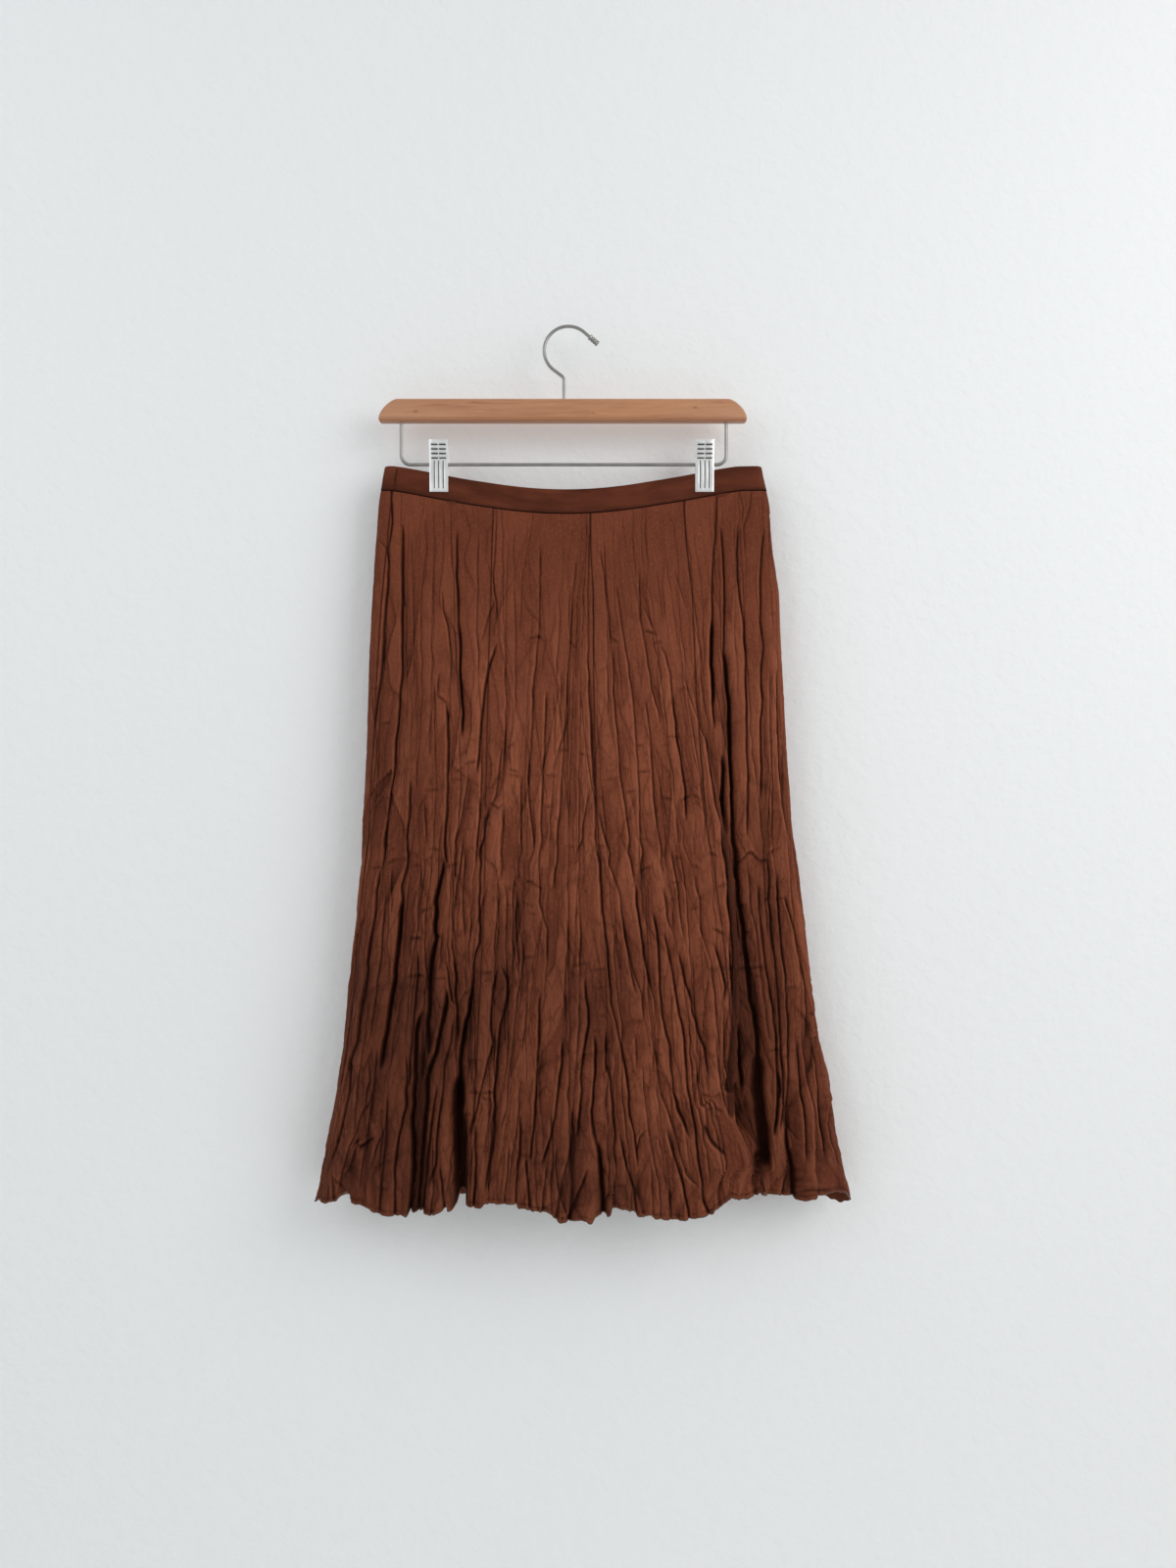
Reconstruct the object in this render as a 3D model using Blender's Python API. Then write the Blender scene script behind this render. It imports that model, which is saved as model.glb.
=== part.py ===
# Pleated eight-gore midi skirt, held flat by its waistband on a wooden clip hanger.
# The skirt faces -Y and hangs along -Z. The origin is the inner top of the hook, where a rail or
# a nail carries it. Sizes below are millimetres; meshes are made in metres.

import math

import bmesh
import bpy
import numpy as np

METRES = 0.001
GAP = 0.3                     # between pieces that meet


def table(columns, *rows):
    """Rows with named columns."""
    return [dict(zip(columns.split(), row)) for row in rows]


# Waist and hem
WAIST_SEAM_Z = -159.0         # seam under the waistband, at the side edges
WAIST_SAG = 22.5              # the band hangs lower between the clips
BAND_HEIGHT = 24.0
BAND_WALL = 2.0
HEM_Z = -843.0
GORE_WALL = 1.2
CLAMPED_DEPTH = 2.3           # half thickness of the band inside the clips
CLAMP_FADE = 70.0             # how far below the seam the clips still press the cloth together

# Cross sections of the skirt, one row for each height: side edges, how far the front and the back
# stand out from the middle plane, and the length of the turn at each side edge.
SECTIONS = table(
    "z left right front back turn",
    (-130.0, -177.0, 186.0, 5.0, 4.5, 6.0),
    (-168.0, -183.5, 194.0, 5.5, 5.0, 7.0),
    (-214.0, -187.0, 197.5, 7.5, 6.5, 10.0),
    (-259.0, -190.0, 204.0, 10.0, 8.0, 13.0),
    (-328.0, -193.0, 207.0, 14.0, 9.5, 19.0),
    (-408.0, -195.0, 211.0, 19.0, 11.0, 26.0),
    (-487.0, -198.5, 216.5, 24.0, 12.5, 32.0),
    (-522.0, -200.5, 223.0, 27.0, 13.0, 35.0),
    (-567.0, -204.5, 228.0, 30.0, 13.5, 39.0),
    (-636.0, -211.0, 235.5, 34.0, 14.5, 44.0),
    (-693.0, -216.5, 243.0, 38.0, 15.5, 48.0),
    (-738.0, -223.0, 254.5, 41.0, 16.0, 51.0),
    (-784.0, -232.0, 259.5, 44.0, 17.0, 54.0),
    (-829.0, -239.5, 270.5, 47.0, 18.0, 57.0),
    (-850.0, -247.0, 274.0, 48.0, 18.0, 58.0),
)

# The cloth right of the big flap lies back from the front: where that starts and ends across the
# front (0 is the left edge, 1 the right), between which heights it grows, and how much it takes.
STEP_ACROSS = (0.80, 0.85)
STEP_HEIGHTS = (-240.0, -620.0)
STEP_SHARE = 0.55

# Gores, by the share of the way round the skirt: 0 is the left edge, 0.5 the right edge, and the
# front comes first. The left side seam shows on the front; the right one is behind the edge.
GORES = table(
    "name start end pleats",
    ("gore_front_1", 0.0203, 0.1494, 11),
    ("gore_front_2", 0.1494, 0.2709, 10),
    ("gore_front_3", 0.2709, 0.3886, 10),
    ("gore_front_4", 0.3886, 0.5215, 11),
    ("gore_back_1", 0.5215, 0.6462, 10),
    ("gore_back_2", 0.6462, 0.7709, 10),
    ("gore_back_3", 0.7709, 0.8956, 10),
    ("gore_back_4", 0.8956, 1.0203, 11),
)
SIDE_SEAMS = (0.0203, 0.5215)

# Pleat rows down the skirt: share of the way from the seam to the hem, and the pleats' depth there
ROWS = table(
    "down depth",
    (0.00, 0.3),
    (0.05, 0.7),
    (0.12, 1.6),
    (0.20, 2.4),
    (0.29, 3.0),
    (0.38, 3.5),
    (0.47, 4.0),
    (0.56, 4.5),
    (0.65, 5.0),
    (0.74, 5.6),
    (0.83, 6.2),
    (0.92, 6.8),
    (1.00, 7.2),
)
PLEAT_UNEVEN = 0.45           # share by which pleats differ in depth
PLEAT_WANDER = 0.0026         # share of the way round by which pleats drift on their way down

# The largest folds: where they lie round the skirt at the top and the bottom of the fold, their
# first and last share of the way down, and their depth.
FOLDS = table(
    "top bottom first last depth",
    (0.092, 0.084, 0.20, 0.97, 11.0),      # deep gap near the left side
    (0.126, 0.121, 0.62, 1.00, 17.0),      # hollow left of the princess seam
    (0.2709, 0.2709, 0.84, 1.00, 13.0),    # slit at the centre front
    (0.2000, 0.2060, 0.45, 1.00, 9.0),
    (0.3280, 0.3400, 0.45, 1.00, 10.0),
    (0.4250, 0.4170, 0.00, 1.00, 12.0),    # gap beside the big flap
    (0.4580, 0.4600, 0.25, 1.00, 10.0),
    (0.5800, 0.5760, 0.15, 1.00, 6.0),
    (0.6462, 0.6462, 0.55, 1.00, 8.0),
    (0.7050, 0.7100, 0.30, 1.00, 7.0),
    (0.7709, 0.7709, 0.70, 1.00, 8.0),
    (0.8350, 0.8300, 0.35, 1.00, 7.0),
    (0.9300, 0.9350, 0.15, 1.00, 6.0),
)

# Hanger
HOOK_WIRE = 3.2
HOOK_RADIUS = 23.5            # centreline
HOOK_TIP_ANGLE = 49.0         # where the arc ends near the tip, degrees above the horizontal
HOOK_HEEL_ANGLE = 233.0       # where it ends above the stem
HOOK_NECK = 9.3               # straight wire from there to the bend into the stem
HOOK_NECK_BEND = 6.2
HOOK_LEAD = 7.0               # straight wire between the arc and its cap
TIP_DIAMETER = 5.2
TIP_LENGTH = 9.5
BAR_CENTRE_X = -5.4
BAR_LENGTH = 356.0
BAR_TOP_Z = -69.8
BAR_HEIGHT = 22.0
BAR_THICKNESS = 12.0
BAR_CORNER = (19.0, 17.5)     # length and drop of the rounded upper ends
ROD_WIRE = 3.2
ROD_Z = -132.5
ROD_ENDS = (-162.0, 153.0)
ROD_BEND = 9.0

# Clips
CLIP_CENTRES = {"clip_left": -125.2, "clip_right": 131.7}
CLIP_WIDTH = 18.0
CLIP_TOP_Z = -107.3
CLIP_JAW_Z = -159.6
CLIP_SHEET = 1.0
CLIP_SPRING = (1.9, 3.2, 13.0)    # inner and outer radius and length of the spring on the rod
# Side view of a plate: height, and distance of its inner face from the middle plane
PLATE = table(
    "z inside",
    (CLIP_JAW_Z, CLAMPED_DEPTH + GAP),
    (CLIP_JAW_Z + 12.0, CLAMPED_DEPTH + GAP),
    (ROD_Z - 5.0, CLIP_SPRING[1] + GAP),
    (ROD_Z + 5.0, CLIP_SPRING[1] + GAP),
    (CLIP_TOP_Z, 8.5),
)

CLOTH_COLOUR = (0.165, 0.052, 0.027)
BAND_COLOUR = (0.105, 0.030, 0.016)
WOOD_COLOUR = (0.46, 0.22, 0.11)
NICKEL_COLOUR = (0.62, 0.61, 0.58)


def clear_scene():
    for item in list(bpy.data.objects):
        bpy.data.objects.remove(item, do_unlink=True)


def make_material(name, colour, roughness, metallic):
    material = bpy.data.materials.new(name)
    material.use_nodes = True
    shader = material.node_tree.nodes["Principled BSDF"]
    shader.inputs["Base Color"].default_value = (*colour, 1.0)
    shader.inputs["Roughness"].default_value = roughness
    shader.inputs["Metallic"].default_value = metallic
    return material


def add_mesh(name, verts, faces, material):
    """One closed body from points in millimetres, with its faces turned outwards."""
    mesh = bpy.data.meshes.new(name)
    mesh.from_pydata([tuple(float(c) * METRES for c in v) for v in verts], [], faces)
    shape = bmesh.new()
    shape.from_mesh(mesh)
    bmesh.ops.recalc_face_normals(shape, faces=shape.faces)
    shape.to_mesh(mesh)
    shape.free()
    mesh.materials.append(material)
    body = bpy.data.objects.new(name, mesh)
    bpy.context.scene.collection.objects.link(body)
    return body


def ease(value, low, high):
    """0 below low, 1 above high, and a soft S between them; low may be the larger."""
    share = min(max((value - low) / (high - low), 0.0), 1.0)
    return share * share * (3.0 - 2.0 * share)


# ---- the skirt's form ----

def section_at(z):
    drops = [-row["z"] for row in SECTIONS]
    return {
        column: float(np.interp(-z, drops, [row[column] for row in SECTIONS]))
        for column in SECTIONS[0]
    }


def pinch(x):
    """1 where a clip presses the cloth together, 0 away from the clips."""
    nearest = min(abs(x - centre) for centre in CLIP_CENTRES.values())
    return 1.0 - ease(nearest, 0.6 * CLIP_WIDTH, 3.0 * CLIP_WIDTH)


def stand_off(x, z, side):
    """How far the flat of the front or the back stands from the middle plane."""
    section = section_at(z)
    clamp = 1.0 - ease(WAIST_SEAM_Z - z, 0.0, CLAMP_FADE)
    depth = section[side] + (CLAMPED_DEPTH - section[side]) * clamp * pinch(x)
    if side == "front":
        share = (x - section["left"]) / (section["right"] - section["left"])
        depth *= 1.0 - STEP_SHARE * ease(z, *STEP_HEIGHTS) * ease(share, *STEP_ACROSS)
    return depth


def half_outline(z, side, samples=90):
    """Points (x, y) of the front or the back section at height z, from left to right."""
    section = section_at(z)
    left, right, turn = section["left"], section["right"], section["turn"]
    bends = [math.pi / 2 * i / (samples // 3) for i in range(samples // 3 + 1)]
    across = [left + turn * (1.0 - math.cos(a)) for a in bends]
    rises = [math.sin(a) for a in bends]
    flat = np.linspace(left + turn, right - turn, samples // 3 + 1)[1:]
    across.extend(flat)
    rises.extend([1.0] * len(flat))
    across.extend(right - turn * (1.0 - math.cos(a)) for a in reversed(bends[:-1]))
    rises.extend(math.sin(a) for a in reversed(bends[:-1]))
    facing = -1.0 if side == "front" else 1.0
    return np.array([(x, facing * stand_off(x, z, side) * rise) for x, rise in zip(across, rises)])


def ring_point(around, z):
    """Point (x, y) of the smooth skirt at a share of the way round, at height z."""
    around %= 1.0
    if around <= 0.5:
        outline, share = half_outline(z, "front"), around * 2.0
    else:
        outline, share = half_outline(z, "back")[::-1], (around - 0.5) * 2.0
    steps = np.hypot(*np.diff(outline, axis=0).T)
    length = np.concatenate(([0.0], np.cumsum(steps)))
    return np.array([np.interp(share * length[-1], length, outline[:, i]) for i in (0, 1)])


def across_share(around):
    """How far across the skirt that point is, 0 at the left edge and 1 at the right."""
    around %= 1.0
    return 2.0 * around if around <= 0.5 else 2.0 * (1.0 - around)


def seam_z(around):
    """Height of the seam under the waistband, which sags between the clips."""
    share = min(max((across_share(around) - 0.03) / 0.90, 0.0), 1.0)
    return WAIST_SEAM_Z - WAIST_SAG * math.sin(math.pi * share) ** 1.3


def hem_z(around):
    """Height of the hem, with its small ups and downs."""
    turn = 2.0 * math.pi * around
    return HEM_Z + 1.6 * math.sin(7.0 * turn + 0.6) + 1.0 * math.sin(16.0 * turn)


# ---- the pleated wall ----

def pleat_columns():
    """Every column of points round the skirt. A crest always lies on each side edge."""
    columns = []
    for index, gore in enumerate(GORES):
        start, end, pleats = gore["start"], gore["end"], gore["pleats"]
        steps, places = [0, 2 * pleats], [start, end]
        for edge in (0.5, 1.0):
            if start < edge < end:
                share = (edge - start) / (end - start)
                steps.insert(1, 2 * round(pleats * share - 0.5) + 1)
                places.insert(1, edge)
        for step in range(2 * pleats):
            columns.append({
                "around": float(np.interp(step, steps, places)),
                "crest": step % 2 == 1,
                "fixed": step in steps,
                "gore": index,
            })
    return columns


def fold_depth(around, down):
    """How much the large folds deepen a valley there."""
    deepest = 0.0
    for fold in FOLDS:
        share = (down - fold["first"]) / (fold["last"] - fold["first"])
        if 0.0 <= share <= 1.0:
            place = fold["top"] + (fold["bottom"] - fold["top"]) * share
            near = 1.0 - ease(abs(around - place), 0.006, 0.013)
            grown = 0.25 + 0.75 * ease(share, 0.0, 0.7)
            deepest = max(deepest, fold["depth"] * near * grown)
    return deepest


def skirt_rows():
    """Outer and inner wall: for each row, a list of points (x, y, z) right round the skirt."""
    columns = pleat_columns()
    outer_rows, inner_rows, slide_rows = [], [], []
    for row in ROWS:
        down, outer, heights = row["down"], [], []
        for index, column in enumerate(columns):
            around = column["around"]
            if not column["fixed"]:
                drift = math.sin(0.55 * index + 5.0 * down) + 0.4 * math.sin(1.9 * index - 8.0 * down)
                around += PLEAT_WANDER * ease(down, 0.0, 0.3) * drift
            top = seam_z(around) - GAP / 2
            z = top + (hem_z(around) - top) * down
            point = ring_point(around, z)
            ahead = ring_point(around + 0.002, z) - ring_point(around - 0.002, z)
            inward = np.array([-ahead[1], ahead[0]]) / np.hypot(*ahead)
            if not column["crest"]:
                depth = row["depth"] * (1.0 + PLEAT_UNEVEN * math.sin(2.4 * index + 4.0 * down))
                side = "front" if around % 1.0 <= 0.5 else "back"
                room = stand_off(point[0], z, side) - GORE_WALL - GAP
                point = point + inward * min(max(depth, fold_depth(around, down)), room)
            outer.append(point)
            heights.append(z)
        inner, slide = wall_inside(outer)
        outer_rows.append([(*p, z) for p, z in zip(outer, heights)])
        inner_rows.append([(*p, z) for p, z in zip(inner, heights)])
        slide_rows.append(slide)
    return columns, outer_rows, inner_rows, slide_rows


def wall_inside(outer):
    """The ring moved inwards by the wall, and the direction along the wall at each point."""
    count = len(outer)
    inward = []
    for i in range(count):
        edge = outer[(i + 1) % count] - outer[i]
        inward.append(np.array([-edge[1], edge[0]]) / np.hypot(*edge))
    inner, slide = [], []
    for i in range(count):
        both = inward[i - 1] + inward[i]
        scale = 1.0 / max(1.0 + float(inward[i - 1] @ inward[i]), 0.5)
        inner.append(outer[i] + GORE_WALL * scale * both)
        unit = both / np.hypot(*both)
        slide.append(np.array([unit[1], -unit[0]]))
    return inner, slide


def wall_mesh(name, outer, inner, material):
    """Closed wall between two grids of points, each a list of rows."""
    rows, count = len(outer), len(outer[0])
    verts = [p for row in outer for p in row] + [p for row in inner for p in row]
    back = rows * count

    def at(row, column, side):
        return side * back + row * count + column

    faces = []
    for r in range(rows - 1):
        for c in range(count - 1):
            faces.append((at(r, c, 0), at(r + 1, c, 0), at(r + 1, c + 1, 0), at(r, c + 1, 0)))
            faces.append((at(r, c, 1), at(r, c + 1, 1), at(r + 1, c + 1, 1), at(r + 1, c, 1)))
    for r in range(rows - 1):
        for c in (0, count - 1):
            faces.append((at(r, c, 0), at(r, c, 1), at(r + 1, c, 1), at(r + 1, c, 0)))
    for c in range(count - 1):
        for r in (0, rows - 1):
            faces.append((at(r, c, 0), at(r, c + 1, 0), at(r, c + 1, 1), at(r, c, 1)))
    return add_mesh(name, verts, faces, material)


def build_gores(material):
    columns, outer_rows, inner_rows, slide_rows = skirt_rows()
    count = len(columns)
    starts = [i for i, c in enumerate(columns) if i == 0 or c["gore"] != columns[i - 1]["gore"]]
    for gore, first in enumerate(starts):
        last = starts[gore + 1] if gore + 1 < len(starts) else count
        outer, inner = [], []
        for row in range(len(ROWS)):
            for rows, target in ((outer_rows, outer), (inner_rows, inner)):
                line = [np.array(rows[row][i % count]) for i in range(first, last + 1)]
                line[0][:2] += slide_rows[row][first] * GAP / 2
                line[-1][:2] -= slide_rows[row][last % count] * GAP / 2
                target.append(line)
        wall_mesh(GORES[gore]["name"], outer, inner, material)


# ---- the waistband ----

def band_places(start, end, step=0.0165):
    """Places along a band, closer together round a side edge."""
    places = set(np.round(np.linspace(start, end, int((end - start) / step) + 1), 5))
    edge = 0.5 if start < 0.5 else 1.0
    for offset in (-0.012, -0.006, 0.0, 0.006, 0.012):
        places.add(round(edge + offset, 5))
    return sorted(p for p in places if start <= p <= end)


def build_waistband(name, start, end, material):
    places = band_places(start, end)
    outer, inner = [], []
    for rise in (BAND_HEIGHT, BAND_HEIGHT / 2, GAP / 2):
        line_outer, line_inner = [], []
        for number, around in enumerate(places):
            z = seam_z(around) + rise
            point = ring_point(around, z)
            ahead = ring_point(around + 0.003, z) - ring_point(around - 0.003, z)
            ahead = ahead / np.hypot(*ahead)
            inward = np.array([-ahead[1], ahead[0]])
            trim = {0: GAP / 2, len(places) - 1: -GAP / 2}.get(number, 0.0)
            point = point + ahead * trim
            line_outer.append((*point, z))
            line_inner.append((*(point + inward * BAND_WALL), z))
        outer.append(line_outer)
        inner.append(line_inner)
    wall_mesh(name, outer, inner, material)


# ---- the hanger ----

def wire(name, points, diameter, material, smooth=2):
    """A round wire along a list of points, as a curve with filled ends."""
    curve = bpy.data.curves.new(name, "CURVE")
    curve.dimensions = "3D"
    curve.bevel_depth = diameter / 2 * METRES
    curve.bevel_resolution = smooth
    curve.use_fill_caps = True
    spline = curve.splines.new("POLY")
    spline.points.add(len(points) - 1)
    for target, point in zip(spline.points, points):
        target.co = (*(c * METRES for c in point), 1.0)
    curve.materials.append(material)
    body = bpy.data.objects.new(name, curve)
    bpy.context.scene.collection.objects.link(body)
    return body


def arc(centre, radius, start, end, steps):
    """Points of an arc in the XZ plane, angles in degrees."""
    angles = np.radians(np.linspace(start, end, steps + 1))
    return [(centre[0] + radius * math.cos(a), 0.0, centre[1] + radius * math.sin(a)) for a in angles]


def hook_route():
    """Centreline from the tip over the top and down the stem to the bar."""
    centre = (0.0, -(HOOK_RADIUS - HOOK_WIRE / 2))
    curve = arc(centre, HOOK_RADIUS, HOOK_TIP_ANGLE, HOOK_HEEL_ANGLE, 24)
    tip_turn = math.radians(HOOK_TIP_ANGLE)
    lead = (math.sin(tip_turn), -math.cos(tip_turn))
    first = curve[0]
    tip = (first[0] + lead[0] * HOOK_LEAD, 0.0, first[2] + lead[1] * HOOK_LEAD)
    heel = curve[-1]
    heel_turn = math.radians(HOOK_HEEL_ANGLE)
    run = (-math.sin(heel_turn), math.cos(heel_turn))
    neck = (heel[0] + run[0] * HOOK_NECK, heel[2] + run[1] * HOOK_NECK)
    bend_centre = (neck[0] + run[1] * HOOK_NECK_BEND, neck[1] - run[0] * HOOK_NECK_BEND)
    bend = arc(bend_centre, HOOK_NECK_BEND, HOOK_HEEL_ANGLE - 180.0, 0.0, 6)
    foot = (bend[-1][0], 0.0, BAR_TOP_Z + GAP)
    return [tip] + curve + bend + [foot], tip, lead


def build_hook(material):
    route, tip, lead = hook_route()
    wire("hanger_hook", route, HOOK_WIRE, material)
    start = (tip[0] + lead[0] * GAP, 0.0, tip[2] + lead[1] * GAP)
    end = (start[0] + lead[0] * TIP_LENGTH, 0.0, start[2] + lead[1] * TIP_LENGTH)
    wire("hook_tip", [start, end], TIP_DIAMETER, material, smooth=3)


def build_rod(material):
    left, right = ROD_ENDS
    top = BAR_TOP_Z - BAR_HEIGHT - GAP
    low = ROD_Z + ROD_BEND
    route = [(left, 0.0, top)]
    route += arc((left + ROD_BEND, low), ROD_BEND, 180.0, 270.0, 6)
    route += arc((right - ROD_BEND, low), ROD_BEND, 270.0, 360.0, 6)
    route += [(right, 0.0, top)]
    wire("hanger_rod", route, ROD_WIRE, material)


def build_bar(material):
    """Wooden bar: straight below, its upper corners rounded off, all its long edges eased."""
    half, bottom = BAR_LENGTH / 2, BAR_TOP_Z - BAR_HEIGHT
    length, drop = BAR_CORNER
    outline = []
    for side in (1, -1):
        turns = np.radians(np.linspace(0.0, 90.0, 7))
        corner = [
            (BAR_CENTRE_X + side * (half - length + length * math.cos(a)),
             BAR_TOP_Z - drop + drop * math.sin(a))
            for a in turns
        ]
        foot = [(BAR_CENTRE_X + side * (half - 3.0), bottom), (BAR_CENTRE_X + side * half, bottom + 2.5)]
        outline += (foot + corner) if side == 1 else (corner[::-1] + foot[::-1])
    count = len(outline)
    verts = [(x, y, z) for y in (-BAR_THICKNESS / 2, BAR_THICKNESS / 2) for x, z in outline]
    faces = [tuple(range(count)), tuple(range(2 * count - 1, count - 1, -1))]
    faces += [(i, (i + 1) % count, count + (i + 1) % count, count + i) for i in range(count)]
    body = add_mesh("hanger_bar", verts, faces, material)
    bevel = body.modifiers.new("eased edges", "BEVEL")
    bevel.width = 2.5 * METRES
    bevel.segments = 2
    bevel.limit_method = "ANGLE"
    bevel.angle_limit = math.radians(50)
    return body


def build_clip_plate(name, centre, side, material):
    """One pressed plate of a clip: side -1 is the front one, 1 the back one."""
    inside = [(side * point["inside"], point["z"]) for point in PLATE]
    outside = [(y + side * CLIP_SHEET, z) for y, z in inside]
    outline = inside + outside[::-1]
    count = len(outline)
    verts = [(centre + x, y, z) for x in (-CLIP_WIDTH / 2, CLIP_WIDTH / 2) for y, z in outline]
    faces = [tuple(range(count)), tuple(range(2 * count - 1, count - 1, -1))]
    faces += [(i, (i + 1) % count, count + (i + 1) % count, count + i) for i in range(count)]
    add_mesh(name, verts, faces, material)


def build_spring(name, centre, material, sides=12):
    """The clip's spring, as a short tube round the rod."""
    inner, outer, length = CLIP_SPRING
    verts, faces = [], []
    for x in (-length / 2, length / 2):
        for radius in (inner, outer):
            for i in range(sides):
                turn = 2.0 * math.pi * i / sides
                verts.append((centre + x, radius * math.sin(turn), ROD_Z + radius * math.cos(turn)))
    for i in range(sides):
        j = (i + 1) % sides
        rings = [(k * sides + i, k * sides + j) for k in range(4)]
        for low, high in ((0, 1), (2, 3), (0, 2), (1, 3)):
            faces.append((rings[low][0], rings[low][1], rings[high][1], rings[high][0]))
    add_mesh(name, verts, faces, material)


def main():
    clear_scene()
    cloth = make_material("brown_cloth", CLOTH_COLOUR, 0.62, 0.0)
    band = make_material("brown_band", BAND_COLOUR, 0.7, 0.0)
    wood = make_material("honey_wood", WOOD_COLOUR, 0.42, 0.0)
    nickel = make_material("satin_nickel", NICKEL_COLOUR, 0.32, 1.0)

    build_gores(cloth)
    build_waistband("waistband_front", SIDE_SEAMS[0], SIDE_SEAMS[1], band)
    build_waistband("waistband_back", SIDE_SEAMS[1], 1.0 + SIDE_SEAMS[0], band)

    build_bar(wood)
    build_hook(nickel)
    build_rod(nickel)
    for clip, centre in CLIP_CENTRES.items():
        build_clip_plate(clip + "_front", centre, -1, nickel)
        build_clip_plate(clip + "_back", centre, 1, nickel)
        build_spring(clip + "_spring", centre, nickel)


main()
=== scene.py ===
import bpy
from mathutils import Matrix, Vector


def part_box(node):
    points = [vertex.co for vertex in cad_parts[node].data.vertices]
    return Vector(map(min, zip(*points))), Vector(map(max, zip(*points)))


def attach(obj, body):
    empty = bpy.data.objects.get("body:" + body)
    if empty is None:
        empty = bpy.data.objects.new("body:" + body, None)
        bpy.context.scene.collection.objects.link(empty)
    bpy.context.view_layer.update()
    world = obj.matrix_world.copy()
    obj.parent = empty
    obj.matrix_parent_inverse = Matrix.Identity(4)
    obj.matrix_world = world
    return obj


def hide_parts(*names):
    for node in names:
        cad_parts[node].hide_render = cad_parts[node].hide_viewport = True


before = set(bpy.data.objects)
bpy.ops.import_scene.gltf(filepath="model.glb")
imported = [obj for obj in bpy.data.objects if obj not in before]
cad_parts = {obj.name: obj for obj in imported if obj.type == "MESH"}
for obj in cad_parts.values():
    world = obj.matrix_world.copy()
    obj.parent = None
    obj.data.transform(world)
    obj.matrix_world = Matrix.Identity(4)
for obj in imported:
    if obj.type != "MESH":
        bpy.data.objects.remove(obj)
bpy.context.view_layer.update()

import math

import bmesh
import bpy
import numpy as np
from mathutils import Vector

mm = 0.001                       # lengths below are millimetres, meshes are metres
print("frame loaded:", len(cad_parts), "nodes")


def table(columns, *rows):
    return [dict(zip(columns.split(), row)) for row in rows]


def ease(value, low, high):      # soft step from 0 at low to 1 at high
    share = np.clip((value - low) / (high - low), 0.0, 1.0)
    return share * share * (3.0 - 2.0 * share)


def roughField(across, down, cell, stretch, seed):
    # smooth random values from -1 to 1; a cell is so many mm across and stretch times as long
    values = np.random.default_rng(seed).uniform(-1.0, 1.0, (256, 256))
    u, v = across / cell, down / (cell * stretch)
    i, j = np.floor(u).astype(int), np.floor(v).astype(int)
    fu, fv = u - i, v - j
    fu, fv = fu * fu * (3 - 2 * fu), fv * fv * (3 - 2 * fv)
    i, j = i % 255, j % 255
    top = values[i, j] * (1 - fu) + values[i + 1, j] * fu
    low = values[i, j + 1] * (1 - fu) + values[i + 1, j + 1] * fu
    return top * (1 - fv) + low * fv


def nodeBox(node):               # a node's corners in mm
    low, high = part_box(node)
    return [c / mm for c in low], [c / mm for c in high]


# The camera's place in mm, and its lens
view = {"x": 19.0, "z": -442.0, "distance": 1140.0, "lens": 27.0}


def addCamera():
    lens = bpy.data.cameras.new("camera")
    lens.lens = view["lens"]
    lens.sensor_width = 36.0
    camera = bpy.data.objects.new("camera", lens)
    camera.location = (view["x"] * mm, -view["distance"] * mm, view["z"] * mm)
    camera.rotation_euler = (math.radians(90.0), 0.0, 0.0)
    bpy.context.scene.collection.objects.link(camera)
    bpy.context.scene.camera = camera


def asSeen(x, y, z):             # the place on the hanger's own plane that a point is seen at
    scale = view["distance"] / (view["distance"] + y)
    return (x - view["x"]) * scale + view["x"], (z - view["z"]) * scale + view["z"]


addCamera()


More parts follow.
